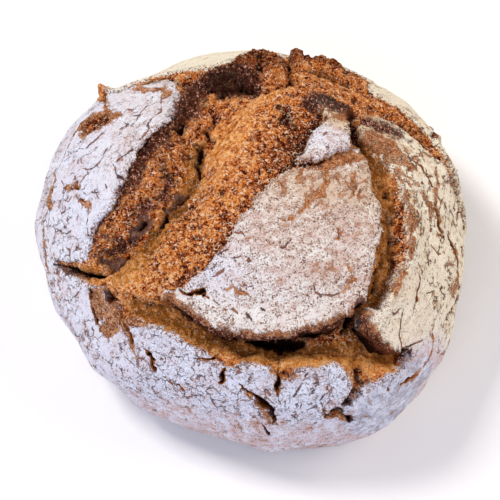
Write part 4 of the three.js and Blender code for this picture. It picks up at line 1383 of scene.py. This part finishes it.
def crustMaterial():
    s = crustGrain
    colours = {name: tint(*value) for name, value in crustColours.items()}
    n = Nodes("crust")
    place = n.place()
    names = ("torn", "bare", "scorch", "ash", "olive", "seam", "hair", "gap", "tone", "across",
             "along", "pit", "hollow", "turn") + flourTraits
    f = {name: n.field(name) for name in names}
    crumb, crumbHeight = tornCrumb(n, colours, place, f)
    coat, coatHeight = flourCoat(n, colours, place, f)
    ragged = n.noise(place, s["tearEdge"], 4, 0.72)
    tornShare = layer(n, "torn", n.sum(f["torn"], n.spread(ragged, 5)))
    colour = n.blend(tornShare, coat, crumb)
    colour = heatMarks(n, colours, place, f, tornShare, colour)
    colour = gapMarks(n, colours, f, ragged, tornShare, colour)

    # the base, browned on the oven floor, with flour baked on
    browned = layer(n, "baseDark", n.noise(place, s["baseBrown"], 5, 0.65))
    baked = n.blend(browned, colours["baseCrust"], colours["baseDark"])
    floury = layer(n, "baseFlour", n.noise(place, s["baseFlour"], 5, 0.7))
    baked = n.blend(floury, baked, coat)
    colour = n.blend(n.times(layer(n, "base", f["turn"]), 0.9), colour, baked)

    n.feed(n.shader.inputs["Base Color"], colour)
    roughness = n.ease(tornShare, s["flourRoughness"], s["crumbRoughness"])
    n.feed(n.shader.inputs["Roughness"], roughness)
    n.shader.inputs["Specular IOR Level"].default_value = s["specular"]
    height = n.add("ShaderNodeMix", {0: tornShare, 2: coatHeight, 3: crumbHeight}).outputs[0]
    bump = n.add("ShaderNodeBump", {"Height": height, "Strength": 1.0, "Distance": s["bump"] * mm})
    n.feed(n.shader.inputs["Normal"], bump.outputs[0])
    return n.material


crust = crustMaterial()
loaf.data.materials.clear()
loaf.data.materials.append(crust)
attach(loaf, "root")
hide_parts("loaf")
print("crust material made")


# Small pieces that stick to the loaf. Sizes in mm; squash is width and thickness
# over length, sunk is how deep the middle lies over length, torn is how far inside
# the torn part they lie, and rough is how many more lie in the roughest places.
looseBits = {
    "torn_grit": {"count": 9400, "size": (0.7, 1.7), "squash": (0.6, 0.38), "tilt": 0.7,
                  "sunk": 0.12, "torn": (0.6, 14), "rough": 1.5, "seed": 41},
    "torn_clods": {"count": 420, "size": (3, 7), "squash": (0.75, 0.6), "tilt": 0.8,
                   "sunk": 0.25, "torn": (2.5, 14), "rough": 6, "seed": 42},
    "crust_flakes": {"count": 1500, "size": (1.6, 4.5), "squash": (0.55, 0.16), "tilt": 0.55,
                     "sunk": 0.05, "torn": (-1.3, 0.5), "rough": 0, "seed": 43},
}
bitRules = {
    "room": 0.1,                # mm, left free inside the CAD box
    "offGaps": 1.5,             # mm
    "axes": (0.7, 1.2),         # each piece's length, width and thickness vary this much
    "corners": (0.65, 1.2),     # and each of its corners this much
    # each bit gets painted light or painted shade at random, as if it stood proud or lay in a pit
    "pit": (-0.45, 0.1),        # and its shade, as if it stood proud or lay in a pit
}


def looseShare(mesh, s):
    # how readily pieces of this kind stick at each point
    torn, gap, u, v = (getField(mesh, name) for name in ("torn", "gap", "mapU", "mapV"))
    low, high = s["torn"]
    share = ((torn > low) & (torn < high) & (gap < -bitRules["offGaps"])).astype(float)
    return share * (1 + s["rough"] * np.clip(sumLumps(u, v, roughPlaces), 0, 1))


def scatterBits(loaf, name, s):
    rng = np.random.default_rng(s["seed"])
    mesh, count = loaf.data, s["count"]
    mesh.calc_loop_triangles()
    triangles = readAll(mesh.loop_triangles, "vertices", 3, np.int32)
    places, normals = getPlaces(mesh), readAll(mesh.vertex_normals, "vector", 3)
    first, second, third = (places[triangles[:, corner]] for corner in range(3))
    area = np.linalg.norm(np.cross(second - first, third - first), axis=1)
    chance = area * looseShare(mesh, s)[triangles].mean(axis=1)
    picked = triangles[rng.choice(len(triangles), count, p=chance / chance.sum())]
    share = rng.dirichlet((1, 1, 1), count)[:, :, None]
    spots = (places[picked] * share).sum(axis=1)
    outward = (normals[picked] * share).sum(axis=1)

    # each bit's own axes: length, width and thickness
    up = outward + s["tilt"] * rng.uniform(-1, 1, (count, 3))
    up /= np.linalg.norm(up, axis=1, keepdims=True)
    length = np.cross(up, rng.normal(size=(count, 3)))
    length /= np.linalg.norm(length, axis=1, keepdims=True)
    axes = np.stack([length, np.cross(up, length), up], axis=1)

    deselectAll()
    bpy.ops.mesh.primitive_ico_sphere_add(subdivisions=1, radius=0.5, location=(0, 0, 0))
    bit = bpy.context.object
    bit.name = name
    shape = getPlaces(bit.data)
    faces = np.array([list(face.vertices) for face in bit.data.polygons])
    size = s["size"][0] + (s["size"][1] - s["size"][0]) * rng.random(count) ** 2
    scale = size[:, None] * np.array([1, *s["squash"]]) * rng.uniform(*bitRules["axes"], (count, 3)) * mm
    corners = rng.uniform(*bitRules["corners"], (count, len(shape), 1))
    copies = shape[None] * corners * scale[:, None]
    sunk = outward * (s["sunk"] * size * mm)[:, None]
    copies = np.einsum("npi,nij->npj", copies, axes) + (spots - sunk)[:, None]
    joined = (faces[None] + np.arange(count)[:, None, None] * len(shape)).reshape(-1, 3)
    room = bitRules["room"] * mm
    low, high = np.array(cadLow) + room, np.array(cadHigh) - room
    bit.data.clear_geometry()
    bit.data.from_pydata(np.clip(copies, low, high).reshape(-1, 3), [], joined)

    # the fields of the spot it sticks to, and its own painted light or shade
    for attribute in list(mesh.attributes):
        if attribute.data_type == "FLOAT" and attribute.domain == "POINT":
            own = (getField(mesh, attribute.name)[picked] * share[:, :, 0]).sum(axis=1)
            if attribute.name == "pit":
                own = rng.uniform(*bitRules["pit"], count)
            setField(bit.data, attribute.name, np.repeat(own, len(shape)))
    bit.data.materials.append(crust)
    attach(bit, "root")
    print(name, "scattered:", len(joined), "triangles")


for name, s in looseBits.items():
    scatterBits(loaf, name, s)


stageSet = {
    "floorSize": 6,         # m
    "floorDrop": 0.5,       # mm under the loaf
    "floor": (238, 238, 240),
    "floorRoughness": 0.9,
    "world": (235, 238, 245),
    "worldStrength": 0.4,
    "lights": {     # place in m, size in m, watts, colour
        "keyLight": ((-1.0, 0.5, 1.5), 0.6, 26, (255, 250, 244)),
        "frontFill": ((-0.4, -1.6, 1.0), 1.4, 17, (225, 230, 255)),
        "rightFill": ((1.5, 0.2, 1.0), 1.2, 18.5, (255, 240, 222)),
    },
}


def addStage(s):
    bpy.ops.mesh.primitive_plane_add(size=s["floorSize"], location=(0, 0, -s["floorDrop"] * mm))
    floor = bpy.context.object
    floor.name = "floor"
    n = Nodes("floor")
    n.shader.inputs["Base Color"].default_value = tint(*s["floor"])
    n.shader.inputs["Roughness"].default_value = s["floorRoughness"]
    floor.data.materials.append(n.material)
    for name, (place, size, watts, colour) in s["lights"].items():
        bpy.ops.object.light_add(type="AREA", location=place)
        light = bpy.context.object
        light.name = name
        light.data.size = size
        light.data.energy = watts
        light.data.color = tint(*colour)[:3]
        light.rotation_euler = (-Vector(place)).to_track_quat("-Z", "Y").to_euler()
    world = bpy.data.worlds.new("studio")
    world.use_nodes = True
    background = world.node_tree.nodes["Background"]
    background.inputs["Color"].default_value = tint(*s["world"])
    background.inputs["Strength"].default_value = s["worldStrength"]
    bpy.context.scene.world = world
    bpy.context.scene.view_settings.view_transform = "Standard"
    print("stage set")


addStage(stageSet)
